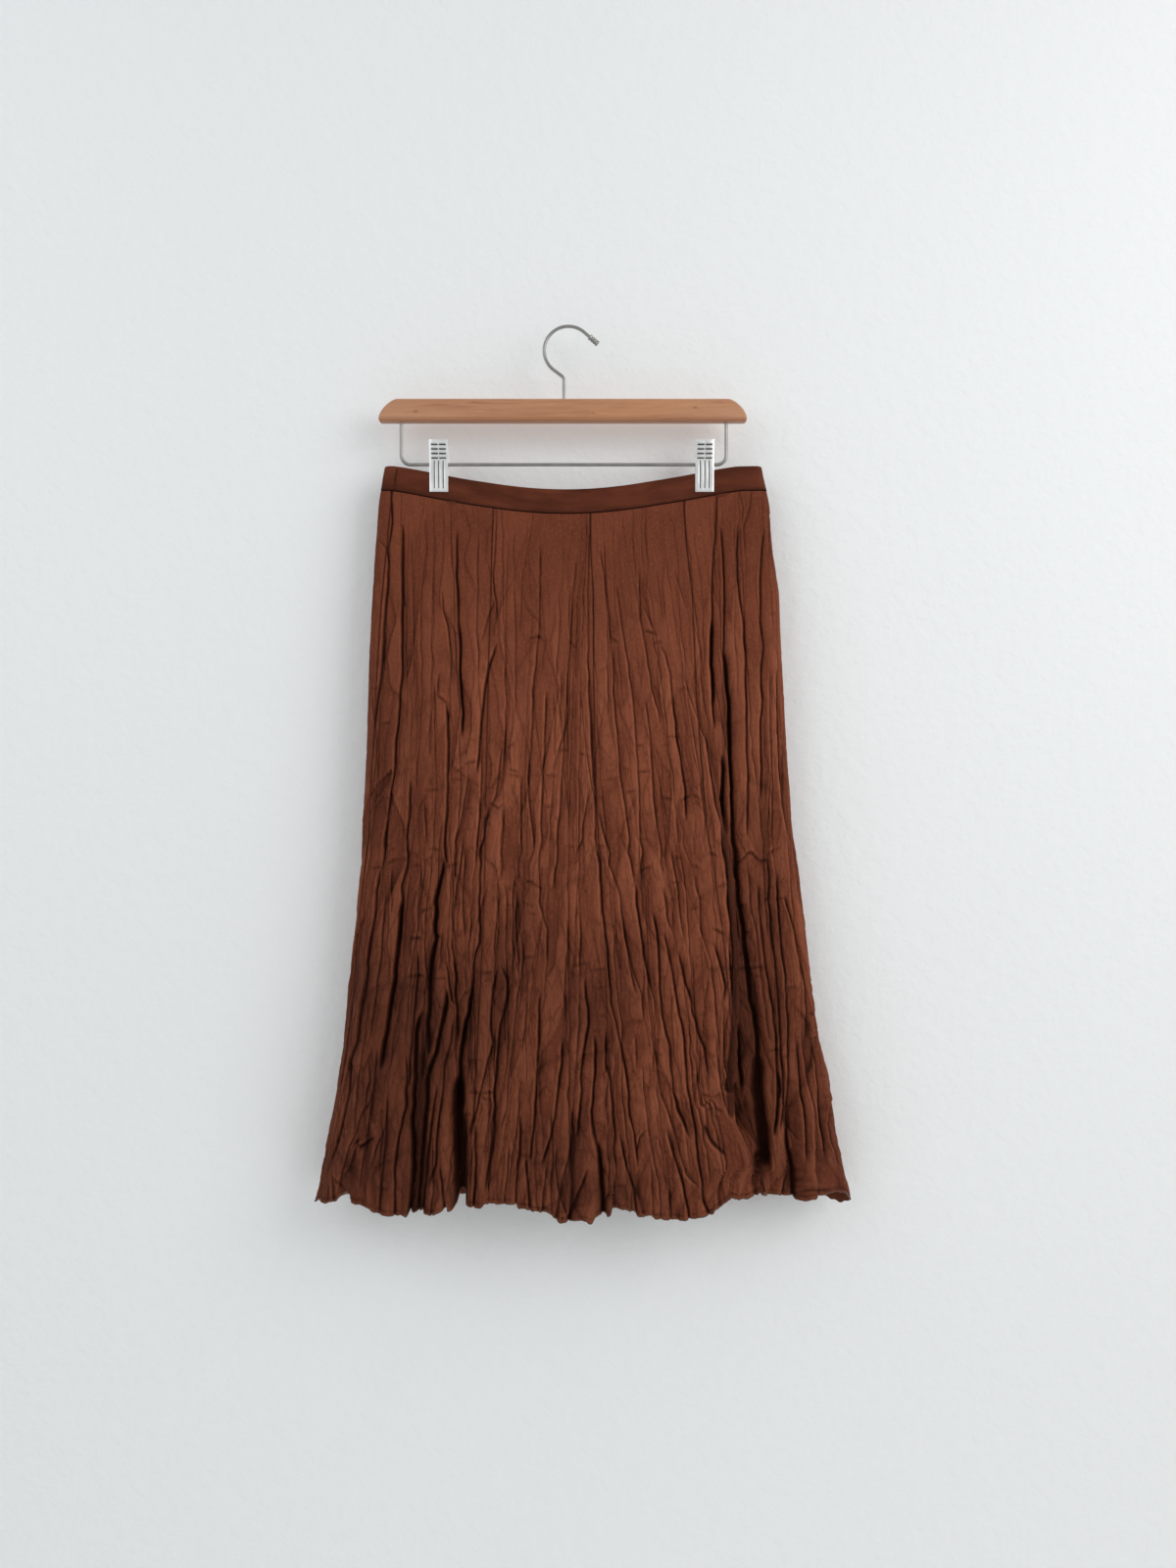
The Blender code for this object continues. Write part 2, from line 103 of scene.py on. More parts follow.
class Shade:
    # a socket of a material; sums, differences and products of it are Math nodes
    def __init__(self, tree, socket=None):
        self.tree = tree
        self.socket = socket

    def node(self, kind, settings=None, links=None, output=0):
        made = self.tree.nodes.new(kind)
        for name, value in (settings or {}).items():
            if name == "stops":
                setStops(made.color_ramp, value)
            else:
                setattr(made, name, value)
        for name, value in (links or {}).items():
            if isinstance(value, Shade):
                self.tree.links.new(value.socket, made.inputs[name])
            else:
                made.inputs[name].default_value = value
        return Shade(self.tree, made.outputs[output])

    def place(self):                 # the object's own coordinates
        return self.node("ShaderNodeTexCoord", {}, output=3)

    def layer(self, name):           # one of the mesh's UV layers
        return self.node("ShaderNodeUVMap", {"uv_map": name})

    def mark(self, name):            # a value kept at the mesh's points
        return self.node("ShaderNodeAttribute", {"attribute_name": name}, output=2)

    def maths(self, operation, first, second, clamp=False):
        settings = {"operation": operation, "use_clamp": clamp}
        return self.node("ShaderNodeMath", settings, {0: first, 1: second})

    def __add__(self, other):
        return self.maths("ADD", self, other)

    def __radd__(self, other):
        return self.maths("ADD", other, self)

    def __sub__(self, other):
        return self.maths("SUBTRACT", self, other)

    def __rsub__(self, other):
        return self.maths("SUBTRACT", other, self)

    def __mul__(self, other):
        return self.maths("MULTIPLY", self, other)

    def __rmul__(self, other):
        return self.maths("MULTIPLY", other, self)

    def vector(self, operation, *others, output=0):
        links = dict(enumerate((self, *others)))
        return self.node("ShaderNodeVectorMath", {"operation": operation}, links, output)

    def clamped(self):
        return self.maths("ADD", self, 0.0, clamp=True)

    def between(self, low, high):    # 0 at low, 1 at high
        links = {"Value": self, "From Min": low, "From Max": high}
        return self.node("ShaderNodeMapRange", {"interpolation_type": "SMOOTHSTEP"}, links)

    def mixed(self, low, high):      # this socket is the factor between two colours
        return self.node("ShaderNodeMix", {"data_type": "RGBA"}, {0: self, 6: low, 7: high}, output=2)

    def noise(self, scale, detail, rough=0.5, warp=0.0):
        links = {"Vector": self, "Scale": scale, "Detail": detail}
        links.update({"Roughness": rough, "Distortion": warp})
        return self.node("ShaderNodeTexNoise", {}, links)

    def stretched(self, scale):
        return self.node("ShaderNodeMapping", {}, {"Vector": self, "Scale": scale})

    def shifted(self, reach):        # noise centred on zero, as a vector of up to so many metres
        small = (self - 0.5) * reach
        return self.node("ShaderNodeCombineXYZ", {}, {"X": small, "Y": small, "Z": small})

    def ramp(self, *stops):
        return self.node("ShaderNodeValToRGB", {"stops": stops}, {"Fac": self})

    def bump(self, distance, strength):
        return self.node("ShaderNodeBump", {}, {"Height": self, "Distance": distance, "Strength": strength})


def setStops(ramp, stops):
    while len(ramp.elements) < len(stops):
        ramp.elements.new(0.5)
    for element, (place, colour) in zip(ramp.elements, stops):
        element.position = place
        element.color = colour


def colour(red, green, blue):    # from 0..255 as picked on a screen
    linear = [((c / 255 + 0.055) / 1.055) ** 2.4 if c > 10 else c / 255 / 12.92 for c in (red, green, blue)]
    return (*linear, 1.0)


def newMaterial(name, fixed):
    # fixed holds the shader values that are the same all over
    material = bpy.data.materials.new(name)
    material.use_nodes = True
    tree = material.node_tree
    shader = tree.nodes["Principled BSDF"]
    for socket, value in fixed.items():
        shader.inputs[socket].default_value = value
    return material, Shade(tree), shader


def feed(shade, shader, **links):
    names = {"base": "Base Color", "rough": "Roughness", "normal": "Normal"}
    for name, value in links.items():
        shade.tree.links.new(value.socket, shader.inputs[names[name]])


# The skirt's cloth: its colours, roughness, and the width and length of a wrinkle in metres
clothLook = {
    # painted colours: the one for valleys is painted shade, the one for lines is painted shade in creases and
    # also the stitches' own colour, and the rubbed one serves for wear and painted highlight
    "lit": colour(127, 68, 46), "deep": colour(97, 49, 33), "wornAndHighlit": colour(162, 95, 68),
    "valley": colour(24, 8, 4), "line": colour(40, 14, 7), "roughness": 0.68,
    "wrinkleWide": 0.0042, "wrinkleLong": 0.021,
}


def makeCloth():
    material, shade, shader = newMaterial("washedBrownCloth", {"Specular IOR Level": 0.07})
    uv = shade.layer("weave")
    flow = shade.layer("flow")
    fold, line, crest, worn = (shade.mark(name) for name in ("fold", "line", "crest", "worn"))
    patches = uv.stretched((11.0, 7.0, 1.0)).noise(1.0, 3.0, 0.6)
    blotches = uv.stretched((60.0, 45.0, 1.0)).noise(1.0, 3.0, 0.6)
    streaks = flow.stretched((520.0, 40.0, 1.0)).noise(1.0, 3.0, 0.6)
    grain = uv.stretched((1500.0, 1500.0, 1.0)).noise(1.0, 2.0, 0.6)
    mottle = uv.stretched((520.0, 330.0, 1.0)).noise(1.0, 3.0, 0.65)
    base = patches.between(0.3, 0.7).mixed(clothLook["deep"], clothLook["lit"])
    base = (blotches.between(0.35, 0.7) * 0.45).mixed(base, clothLook["lit"])
    base = (mottle.between(0.5, 0.72) * 0.32).mixed(base, clothLook["wornAndHighlit"])
    base = (mottle.between(0.5, 0.3) * 0.45).mixed(base, clothLook["deep"])
    # rubbed ridges as wear, and painted highlights on ridges, rims and light places
    base = (crest.clamped() * 0.75).mixed(base, clothLook["wornAndHighlit"])
    wrinkled = flow.vector("ADD", blotches.shifted(0.004))
    net = wrinkled.stretched((1.0 / clothLook["wrinkleWide"], 1.0 / clothLook["wrinkleLong"], 1.0))
    edges = net.node("ShaderNodeTexVoronoi", {"voronoi_dimensions": "2D", "feature": "DISTANCE_TO_EDGE"},
                     {"Vector": net, "Scale": 1.0, "Randomness": 1.0})
    hairline = 1.0 - edges.between(0.02, 0.14)
    broken = blotches.between(0.42, 0.6)
    # painted shade in the crinkles' fine creases, more of it lower down
    base = (hairline * broken * worn * 0.3).mixed(base, clothLook["line"])
    base = (streaks.between(0.5, 0.75) * 0.3).mixed(base, clothLook["deep"])
    # painted shade in crease slots and seam grooves, and the stitch line's own colour
    base = (line * 0.92).clamped().mixed(base, clothLook["line"])
    # painted shade in valleys, towards the hem and in shaded places
    base = (fold.clamped() * 0.9).mixed(base, clothLook["valley"])
    base = (grain * 0.2).mixed(base, clothLook["deep"])
    rough = clothLook["roughness"] + (streaks - 0.5) * 0.12 + (grain - 0.5) * 0.1
    facets = net.node("ShaderNodeTexVoronoi", {"voronoi_dimensions": "2D", "feature": "SMOOTH_F1"},
                      {"Vector": net, "Scale": 1.0, "Randomness": 1.0, "Smoothness": 0.25})
    height = facets * 0.5 - hairline * broken * 0.35 + blotches * 0.9 + streaks * 0.25 + grain * 0.05
    normal = (height + mottle * 0.35).bump(0.0009, 0.9)
    feed(shade, shader, base=base, rough=rough, normal=normal)
    return material


# The waistband's cloth, pressed flat, with painted shade along its lower edge and in its tucks
bandLook = {"lit": colour(106, 55, 37), "deep": colour(76, 36, 22), "grain": colour(56, 23, 13),
            "valley": colour(26, 9, 5), "roughness": 0.6}


def makeBandCloth():
    material, shade, shader = newMaterial("pressedBandCloth", {"Specular IOR Level": 0.07})
    uv = shade.layer("weave")
    fold = shade.mark("fold")
    patches = uv.stretched((14.0, 60.0, 1.0)).noise(1.0, 3.0, 0.55)
    grain = uv.stretched((1300.0, 1300.0, 1.0)).noise(1.0, 2.0, 0.6)
    base = patches.between(0.3, 0.7).mixed(bandLook["deep"], bandLook["lit"])
    base = (grain * 0.25).mixed(base, bandLook["grain"])
    # painted shade along the band's lower edge and in its tucks
    base = fold.clamped().mixed(base, bandLook["valley"])
    rough = bandLook["roughness"] + (grain - 0.5) * 0.12
    creases = uv.stretched((70.0, 190.0, 1.0)).noise(1.0, 3.0, 0.5)
    normal = (creases + grain * 0.08).bump(0.0012, 0.35)
    feed(shade, shader, base=base, rough=rough, normal=normal)
    return material


# The thread over the hem's edge, and how many stitches there are in a metre
threadLook = {"lit": colour(118, 82, 54), "between": colour(62, 34, 20), "patch": colour(92, 50, 34),
              "roughness": 0.7, "stitches": 230.0}


def makeHemThread():
    material, shade, shader = newMaterial("hemThread", {"Specular IOR Level": 0.25, "Sheen Weight": 0.2})
    uv = shade.layer("weave")
    stitches = uv.node("ShaderNodeTexWave", {"wave_type": "BANDS", "bands_direction": "X"},
                       {"Vector": uv, "Scale": threadLook["stitches"], "Distortion": 2.0, "Detail": 2.0})
    patches = uv.stretched((60.0, 300.0, 1.0)).noise(1.0, 2.0)
    # the stitches lighter, with painted shade between them
    base = stitches.between(0.2, 0.8).mixed(threadLook["between"], threadLook["lit"])
    base = patches.between(0.35, 0.65).mixed(base, threadLook["patch"])
    rough = threadLook["roughness"] + stitches * 0.1
    feed(shade, shader, base=base, rough=rough, normal=stitches.bump(0.0003, 0.7))
    return material


# The hanger's bar: its colours, and its knots, each at a place across and up with a size
woodLook = {"light": colour(192, 138, 98), "mid": colour(175, 120, 84), "dark": colour(138, 83, 52),
            "knot": colour(104, 60, 40)}
woodKnots = table("x z size", (-147.3, -82.7, 2.1), (122.5, -78.9, 1.8), (24.0, -84.0, 1.2))


def makeWood():
    fixed = {"Specular IOR Level": 0.5, "Coat Weight": 0.25, "Coat Roughness": 0.28}
    material, shade, shader = newMaterial("honeyWood", fixed)
    place = shade.place()
    warp = place.stretched((9.0, 30.0, 60.0)).noise(1.0, 2.0, 0.5)
    ripple = place.vector("ADD", warp.shifted(0.012))
    grain = ripple.stretched((14.0, 420.0, 420.0)).noise(1.0, 6.0, 0.62, 0.6)
    pores = place.stretched((90.0, 1500.0, 1500.0)).noise(1.0, 2.0, 0.5)
    broad = place.stretched((7.0, 60.0, 60.0)).noise(1.0, 2.0, 0.5)
    base = grain.ramp((0.2, woodLook["dark"]), (0.42, woodLook["mid"]), (0.7, woodLook["light"]))
    base = (broad.between(0.35, 0.7) * 0.6).mixed(base, woodLook["light"])
    base = (pores.between(0.58, 0.75) * 0.35).mixed(base, woodLook["dark"])
    # painted shade along the bar's underside
    height = place.node("ShaderNodeSeparateXYZ", {}, {0: place}, output=2)
    underside = nodeBox("hanger_bar")[0][2] * mm
    base = ((1.0 - height.between(underside + 0.001, underside + 0.006)) * 0.45).mixed(base, woodLook["dark"])
    for knot in woodKnots:
        away = place.vector("SUBTRACT", (knot["x"] * mm, 0.0, knot["z"] * mm))
        far = away.vector("MULTIPLY", (0.5, 0.0, 1.0)).vector("LENGTH", output=1)
        near = 1.0 - far.between(0.2 * knot["size"] * mm, knot["size"] * mm)
        base = (near * 0.5).mixed(base, woodLook["knot"])
    rough = 0.36 + grain * 0.14
    normal = (grain * 0.6 + pores * 0.4).bump(0.0004, 0.3)
    feed(shade, shader, base=base, rough=rough, normal=normal)
    return material


# The hook's and the rod's nickel, the clips' steel, and dark steel as painted shade in their grooves and
# slots
nickelLook = {"dark": colour(150, 149, 146), "light": colour(164, 163, 160), "roughness": 0.3}
steelLook = {"dark": colour(232, 233, 233), "light": colour(243, 244, 244), "roughness": 0.3}
grooveShadeLook = {"dark": colour(62, 63, 64), "light": colour(84, 85, 86), "roughness": 0.5}


def makeNickel():
    material, shade, shader = newMaterial("satinNickel", {"Metallic": 1.0})
    place = shade.place()
    cloudy = place.noise(60.0, 3.0, 0.6)
    scratch = place.stretched((300.0, 300.0, 2400.0)).noise(1.0, 2.0, 0.6)
    base = cloudy.between(0.3, 0.7).mixed(nickelLook["dark"], nickelLook["light"])
    rough = nickelLook["roughness"] + cloudy * 0.06 + scratch * 0.05
    feed(shade, shader, base=base, rough=rough, normal=scratch.bump(0.00003, 0.2))
    return material


def makeClipSteel():
    material, shade, shader = newMaterial("pressedSteel", {"Metallic": 0.65})
    place = shade.place()
    brushed = place.stretched((1800.0, 1800.0, 60.0)).noise(1.0, 3.0, 0.6)
    cloudy = place.noise(90.0, 2.0, 0.5)
    base = cloudy.between(0.3, 0.7).mixed(steelLook["dark"], steelLook["light"])
    rough = steelLook["roughness"] + brushed * 0.14
    feed(shade, shader, base=base, rough=rough, normal=brushed.bump(0.00004, 0.4))
    return material


def makeGrooveShadeSteel():
    material, shade, shader = newMaterial("shadedSteel", {"Metallic": 0.5})
    place = shade.place()
    cloudy = place.noise(120.0, 2.0, 0.5)
    base = cloudy.between(0.3, 0.7).mixed(grooveShadeLook["dark"], grooveShadeLook["light"])
    feed(shade, shader, base=base, rough=grooveShadeLook["roughness"] + cloudy * 0.1)
    return material


clothMaterial = makeCloth()
bandMaterial = makeBandCloth()
hemMaterial = makeHemThread()
woodMaterial = makeWood()
nickelMaterial = makeNickel()
clipMaterial = makeClipSteel()
grooveShadeMaterial = makeGrooveShadeSteel()
print("materials made")


# The skirt: its waist seam and that seam's sag, hem, wall, how flat the clips press it, the rows of
# its grid, gaps at its seams, how deep the back's creases are, and how much more cloth was cut
skirt = {
    "seamZ": -159.0, "sag": 22.5, "bandHeight": 24.0, "hemZ": -843.0, "thickness": 0.7,
    "clampedDepth": 2.3, "clampFade": 70.0, "rows": 400, "hemRows": 12, "seamGap": 0.02, "bandGap": 0.15,
    "sagStart": 0.03, "sagReach": 0.90, "sagShape": 1.3, "backShare": 0.8, "waistTake": 1.1, "hemTake": 1.35,
}

# The skirt's outline by height: its ends, how far front and back stand out, how far its edges turn
sections = table(
    "z left right front back turn",
    (-130.0, -177.0, 186.0, 5.0, 4.5, 6.0),
    (-168.0, -183.5, 194.0, 5.5, 5.0, 7.0),
    (-214.0, -187.0, 197.5, 7.5, 6.5, 10.0),
    (-259.0, -190.0, 204.0, 10.0, 8.0, 13.0),
    (-328.0, -193.0, 207.0, 14.0, 9.5, 19.0),
    (-408.0, -195.0, 211.0, 19.0, 11.0, 26.0),
    (-487.0, -198.5, 216.5, 24.0, 12.5, 32.0),
    (-522.0, -200.5, 223.0, 27.0, 13.0, 35.0),
    (-567.0, -204.5, 228.0, 30.0, 13.5, 39.0),
    (-636.0, -211.0, 235.5, 34.0, 14.5, 44.0),
    (-693.0, -216.5, 243.0, 38.0, 15.5, 48.0),
    (-738.0, -223.0, 254.5, 41.0, 16.0, 51.0),
    (-784.0, -232.0, 259.5, 44.0, 17.0, 54.0),
    (-829.0, -239.5, 270.5, 47.0, 18.0, 57.0),
    (-850.0, -247.0, 274.0, 48.0, 18.0, 58.0),
)

# The gores by their place round the skirt, as shares of a turn, and the columns of their grid
gores = table(
    "name start end columns",
    ("gore_front_1", 0.0203, 0.1494, 170),
    ("gore_front_2", 0.1494, 0.2709, 170),
    ("gore_front_3", 0.2709, 0.3886, 170),
    ("gore_front_4", 0.3886, 0.5215, 170),
    ("gore_back_1", 0.5215, 0.6462, 66),
    ("gore_back_2", 0.6462, 0.7709, 66),
    ("gore_back_3", 0.7709, 0.8956, 66),
    ("gore_back_4", 0.8956, 1.0203, 110),
)

# The front's creases from the waist down, by kind, each a path of places as seen: across, height
creases = table(
    "kind path",
    ("strong", ((-172, -170), (-171, -200), (-175, -225), (-174, -242), (-178, -290), (-182, -345),
                (-189, -395))),
    ("medium", ((-186, -214), (-177, -224), (-174, -240))),
    ("strong", ((-161, -198), (-161, -345), (-164, -380), (-167, -410), (-168, -435), (-174, -480),
                (-182, -535))),
    ("strong", ((-182, -530), (-187, -552), (-190.5, -587), (-195.5, -620), (-195, -627), (-202, -667),
                (-205, -697), (-213, -715), (-212, -744), (-217, -765), (-221, -780), (-232, -815))),
    ("faint", ((-140, -185), (-138, -215), (-143, -280), (-142, -345), (-144, -400), (-148, -450))),
    ("medium", ((-123, -255), (-121, -275), (-116, -290), (-113, -345))),
    ("faint", ((-128, -200), (-131, -250), (-133, -345), (-134, -420))),
    ("faint", ((-152, -210), (-150, -280), (-151, -360))),
    ("strong", ((-108, -195), (-108, -220), (-109, -240), (-107, -270), (-104, -345), (-103, -370),
                (-104, -395))),
    ("strong", ((-105, -285), (-104, -345), (-103, -372), (-104, -392))),
    ("medium", ((-70, -178), (-71, -205), (-73, -235), (-72, -250), (-70, -262), (-70, -282))),
    ("medium", ((-71, -256), (-76, -272), (-80, -290), (-84, -302))),
    ("strong", ((-69, -300), (-75, -320), (-80, -345), (-83, -370), (-86, -400), (-88, -428))),
    ("faint", ((-35, -180), (-40, -205), (-45, -235), (-46, -292))),
    ("medium", ((-27, -198), (-27, -240), (-29, -290), (-33, -340), (-36, -400), (-39, -430), (-37, -460),
                (-33, -502))),
    ("faint", ((-58, -195), (-60, -240), (-61, -300), (-60, -345))),
    ("medium", ((8, -212), (5, -240), (3, -270), (-1, -345), (-4, -380), (-6, -420), (-8, -450),
                (-10, -480), (-14, -540))),
    ("faint", ((-8, -238), (-9, -280), (-12, -332))),
    ("medium", ((21, -181), (19, -230), (20, -290), (20, -340), (22, -400), (25, -440), (26, -480),
                (27, -500))),
    ("strong", ((27, -495), (30, -527), (33, -561), (37, -593), (41, -633), (42, -651), (47.5, -675),
                (54, -707), (57, -734), (60, -759), (64, -773), (65.7, -790), (67, -803))),
    ("medium", ((30, -203), (35, -235), (39, -270), (41, -302))),
    ("medium", ((46, -238), (50, -265), (54, -295), (58, -320), (61, -340), (64, -370), (66, -400),
                (69, -440), (71, -535))),
    ("medium", ((43, -301), (44, -345), (48, -390), (51, -430), (56, -460), (60, -485), (65, -535))),
    ("medium", ((68, -228), (70, -275), (74, -295), (78, -320), (81, -345), (87, -365), (89, -382))),
    ("medium", ((72, -262), (80, -280), (84, -293))),
    ("faint", ((84, -228), (88, -255), (93, -292))),
    ("medium", ((88, -303), (94, -315), (99, -335), (101, -370))),
    ("strong", ((101, -355), (105, -400), (109, -425), (113, -450), (115, -482))),
    ("medium", ((112, -172), (114, -205), (117, -230), (119, -252))),
    ("faint", ((101, -233), (110, -262), (117, -280))),
    ("faint", ((120, -288), (126, -310), (129, -345), (133, -395))),
    ("strong", ((144, -162), (143, -200), (140, -240), (139, -290), (139, -345), (140, -370),
                (142, -395))),
    ("open", ((139, -290), (139, -340), (140, -372))),
    ("strong", ((148, -200), (151, -250), (151, -300), (151, -340), (155, -370), (157, -420), (158, -460),
                (159, -490))),
    ("open", ((151, -320), (155, -370), (157, -425), (158, -460), (161, -535), (165, -561), (169, -593),
              (171.5, -614), (174, -638), (175.5, -659), (179.5, -675), (182, -696), (183, -723),
              (184.4, -753))),
    ("hollow", ((183, -715), (184.4, -753), (188, -787), (190, -809), (189, -830))),
    ("open", ((150, -420), (149, -470), (152, -500), (155.7, -561), (158, -593), (159, -640), (161, -659),
              (163.6, -690), (165, -723), (169, -753))),
    ("medium", ((165, -169), (169, -185), (168, -202))),
    ("medium", ((178, -163), (176, -185), (170, -205), (171, -232))),
    ("strong", ((164, -200), (163, -230), (165, -265), (169, -290), (172, -360), (173, -400), (174, -440),
                (173, -500))),
    ("faint", ((171, -205), (172, -245), (172, -282))),
    ("strong", ((190, -205), (187, -235), (186, -265), (186, -295), (189, -320), (186, -345), (188, -370),
                (186, -390), (187, -430), (186, -465))),
    ("medium", ((195, -178), (195, -235))),
    ("medium", ((196, -340), (196, -400), (198, -450), (197, -500))),
    ("strong", ((202, -340), (204, -400), (205, -440), (209, -480), (212, -500))),
    ("strong", ((-153, -443), (-154, -480), (-157, -500), (-155, -515), (-161, -545), (-161, -572),
                (-165.5, -605))),
    ("open", ((-161, -560), (-164, -590), (-167, -620), (-168, -635), (-171, -652), (-176, -687),
              (-182, -722))),
    ("medium", ((-140, -458), (-138, -485), (-136, -502))),
    ("medium", ((-143, -520), (-144, -545), (-145.5, -574))),
    ("medium", ((-172, -532), (-171, -577))),
    ("medium", ((-126, -335), (-127, -357))),
    ("strong", ((-118, -363), (-117, -375), (-117, -440), (-119, -490), (-119, -522))),
    ("open", ((-121, -515), (-124, -535), (-129, -552), (-130, -575), (-128, -588), (-133, -610),
              (-135, -635), (-137, -667), (-136, -700))),
    ("medium", ((-122, -585), (-124, -602), (-123.5, -612), (-127, -622))),
    ("medium", ((-96, -428), (-99, -450), (-104, -470), (-108, -490), (-112, -535), (-113, -565),
                (-110, -592))),
    ("strong", ((-76, -460), (-80, -480), (-82, -500), (-85.5, -535), (-86, -577), (-86, -602),
                (-90.5, -615), (-93, -637), (-97, -657), (-104, -697))),
    ("open", ((-93, -637), (-97, -657), (-100.5, -677), (-104, -697), (-105.5, -725), (-107, -755))),
    ("hollow", ((-106, -725), (-108, -757), (-107, -775), (-104, -800), (-104, -850))),
    ("faint", ((-61, -385), (-61, -422))),
    ("medium", ((-64, -400), (-70, -450), (-76, -464))),
    ("medium", ((-62, -460), (-63, -500), (-65, -537))),
    ("medium", ((-46, -428), (-46, -500), (-49, -540))),
    ("medium", ((-21, -342), (-23, -400), (-26, -460), (-28, -552), (-20.5, -577), (-21, -592),
                (-20, -612))),
    ("medium", ((20, -438), (14, -475), (9, -502))),
    ("medium", ((29, -463), (35, -490), (40, -515), (50, -543), (55, -583), (62, -614), (69, -635),
                (72, -661))),
    ("medium", ((75, -353), (80, -390), (81, -430), (84, -460), (88, -490), (92, -522))),
    ("faint", ((90, -438), (93, -480), (95, -522))),
    ("strong", ((134, -403), (138, -440), (143, -470), (148, -490), (152, -515), (153, -530))),
    ("strong", ((65, -530), (66, -551), (70, -575), (72.6, -598), (76.5, -614), (80.5, -635))),
    ("strong", ((82, -558), (86, -580), (88.4, -606), (88.4, -633), (91, -659), (97.6, -686),
                (101.6, -727), (105, -745), (118, -775))),
    ("medium", ((90, -533), (97.6, -569), (101.6, -582))),
    ("strong", ((92, -577), (99, -606), (105.6, -638), (108, -659), (112, -680), (116, -727),
                (118.7, -745), (123, -770), (125.7, -798), (130, -820), (131, -837), (137, -850))),
    ("strong", ((107, -599), (112, -620), (117.4, -641), (121.4, -664), (126.7, -686), (132, -701),
                (137, -729))),
    ("medium", ((122.7, -533), (126.7, -559), (129.3, -590), (134.6, -609), (138.5, -620), (140, -638),
                (144, -675), (146.5, -711))),
    ("strong", ((141, -602), (148, -627), (152, -646), (150.4, -661))),
    ("medium", ((174, -530), (177, -572), (182, -590), (184.7, -614), (187.4, -638), (190, -659),
                (196, -700))),
    ("strong", ((184, -545), (186, -580), (188.7, -601), (191, -620), (194, -638), (196.6, -659),
                (201, -690), (203, -759))),
    ("strong", ((194, -520), (195.3, -575), (198.5, -606), (200, -619), (205, -675), (207, -734),
                (209, -759), (205, -786))),
    ("strong", ((202, -536), (204.5, -585), (207, -614), (210, -643), (212.4, -675), (213, -712),
                (211, -773))),
    ("open", ((211, -765), (212.4, -798), (216.5, -823), (218, -845))),
    ("open", ((203, -725), (205, -745), (202, -770), (200, -790))),
    ("strong", ((221, -700), (225, -740), (229, -779), (231, -815))),
    ("strong", ((236, -700), (240, -740), (243, -775), (247, -812))),
    ("strong", ((226, -560), (232, -610), (238, -660), (243, -700))),
    ("medium", ((217, -500), (221, -540), (228, -600), (234, -640))),
    ("strong", ((208.5, -559), (215, -580), (220, -601), (223, -620), (228, -643), (229.6, -659),
                (232, -700))),
    ("medium", ((211, -778), (223.5, -793))),
    ("strong", ((241.7, -776), (246, -798), (248.7, -817))),
    ("strong", ((250, -730), (255, -755), (251.5, -784), (254, -798), (262.6, -823), (270, -833))),
    ("open", ((-142, -658), (-147, -677), (-148, -697), (-149, -725), (-151, -757), (-151, -804),
              (-154, -858))),
    ("strong", ((-137, -667), (-140.5, -697), (-143, -727))),
    ("open", ((-117, -637), (-122, -667), (-128, -697), (-136.7, -722), (-138, -754), (-140.6, -778),
              (-143, -804), (-146, -860))),
    ("strong", ((-110.5, -662), (-114, -687), (-120.5, -707), (-123.5, -743), (-127.5, -778),
                (-130, -804), (-136.7, -825))),
    ("strong", ((-128.8, -731), (-134, -778), (-138, -804), (-142, -860))),
    ("strong", ((-118, -613), (-116, -627), (-112.5, -645), (-109, -652))),
    ("strong", ((-110.5, -608), (-109, -622), (-109, -635), (-108, -652), (-108.5, -690))),
    ("medium", ((-93, -633), (-103, -647), (-107, -653))),
    ("strong", ((-68, -620), (-72, -637), (-74, -657), (-75, -677), (-73, -692), (-78, -707),
                (-86.5, -743), (-92, -770), (-97, -796))),
    ("strong", ((-64, -620), (-58, -635), (-59, -652), (-65.5, -677), (-68, -700), (-72, -741),
                (-72, -778), (-74.7, -804), (-81, -840))),
    ("medium", ((-45.5, -583), (-44, -610), (-47, -635), (-49, -647), (-53, -687), (-58.8, -741),
                (-60, -759), (-65.5, -780))),
    ("medium", ((-40.5, -650), (-42, -677), (-45.5, -702))),
    ("strong", ((-47, -764), (-47, -799), (-49.6, -820), (-51, -852))),
    ("strong", ((-26, -638), (-28, -667), (-29, -687), (-31, -722), (-32.5, -757), (-35, -778),
                (-37, -806))),
    ("strong", ((-5, -675), (-7, -700), (-10, -725), (-12.7, -757), (-16.6, -778), (-26, -806))),
    ("medium", ((-11, -778), (-12.7, -802), (-10, -823), (-1, -846))),
    ("strong", ((19, -800), (13.7, -817), (0, -846))),
    ("medium", ((4.5, -755), (1.9, -778), (0.5, -806))),
    ("strong", ((17, -615), (18, -662), (13, -700), (11, -743), (8.5, -772))),
    ("strong", ((25.6, -677), (26.4, -712), (22.4, -745), (23.7, -759), (28, -787))),
    ("open", ((28, -780), (30.7, -801), (32, -820), (35, -862))),
    ("strong", ((36, -678), (37, -709), (42, -727), (43, -759), (44.7, -779), (43.3, -795), (46, -814))),
    ("strong", ((49, -777), (56, -809), (63, -829), (67, -862))),
    ("medium", ((66, -676), (66.5, -711))),
    ("medium", ((82, -681), (86, -707), (89.4, -734), (98, -753), (105, -773), (110, -795), (114.5, -809),
                (130, -827))),
    ("strong", ((96.4, -765), (103, -790), (112, -820), (116, -843), (117, -862))),
    ("strong", ((131, -765), (137, -784), (142.5, -795), (149.5, -807), (156, -813))),
    ("medium", ((77, -768), (69, -776), (65.7, -790))),
    ("medium", ((81, -800), (82, -862))),
    ("strong", ((-156.5, -700), (-158, -751), (-163, -773), (-168, -804), (-168, -845))),
    ("strong", ((-146, -600), (-147, -640), (-152, -690), (-156, -730))),
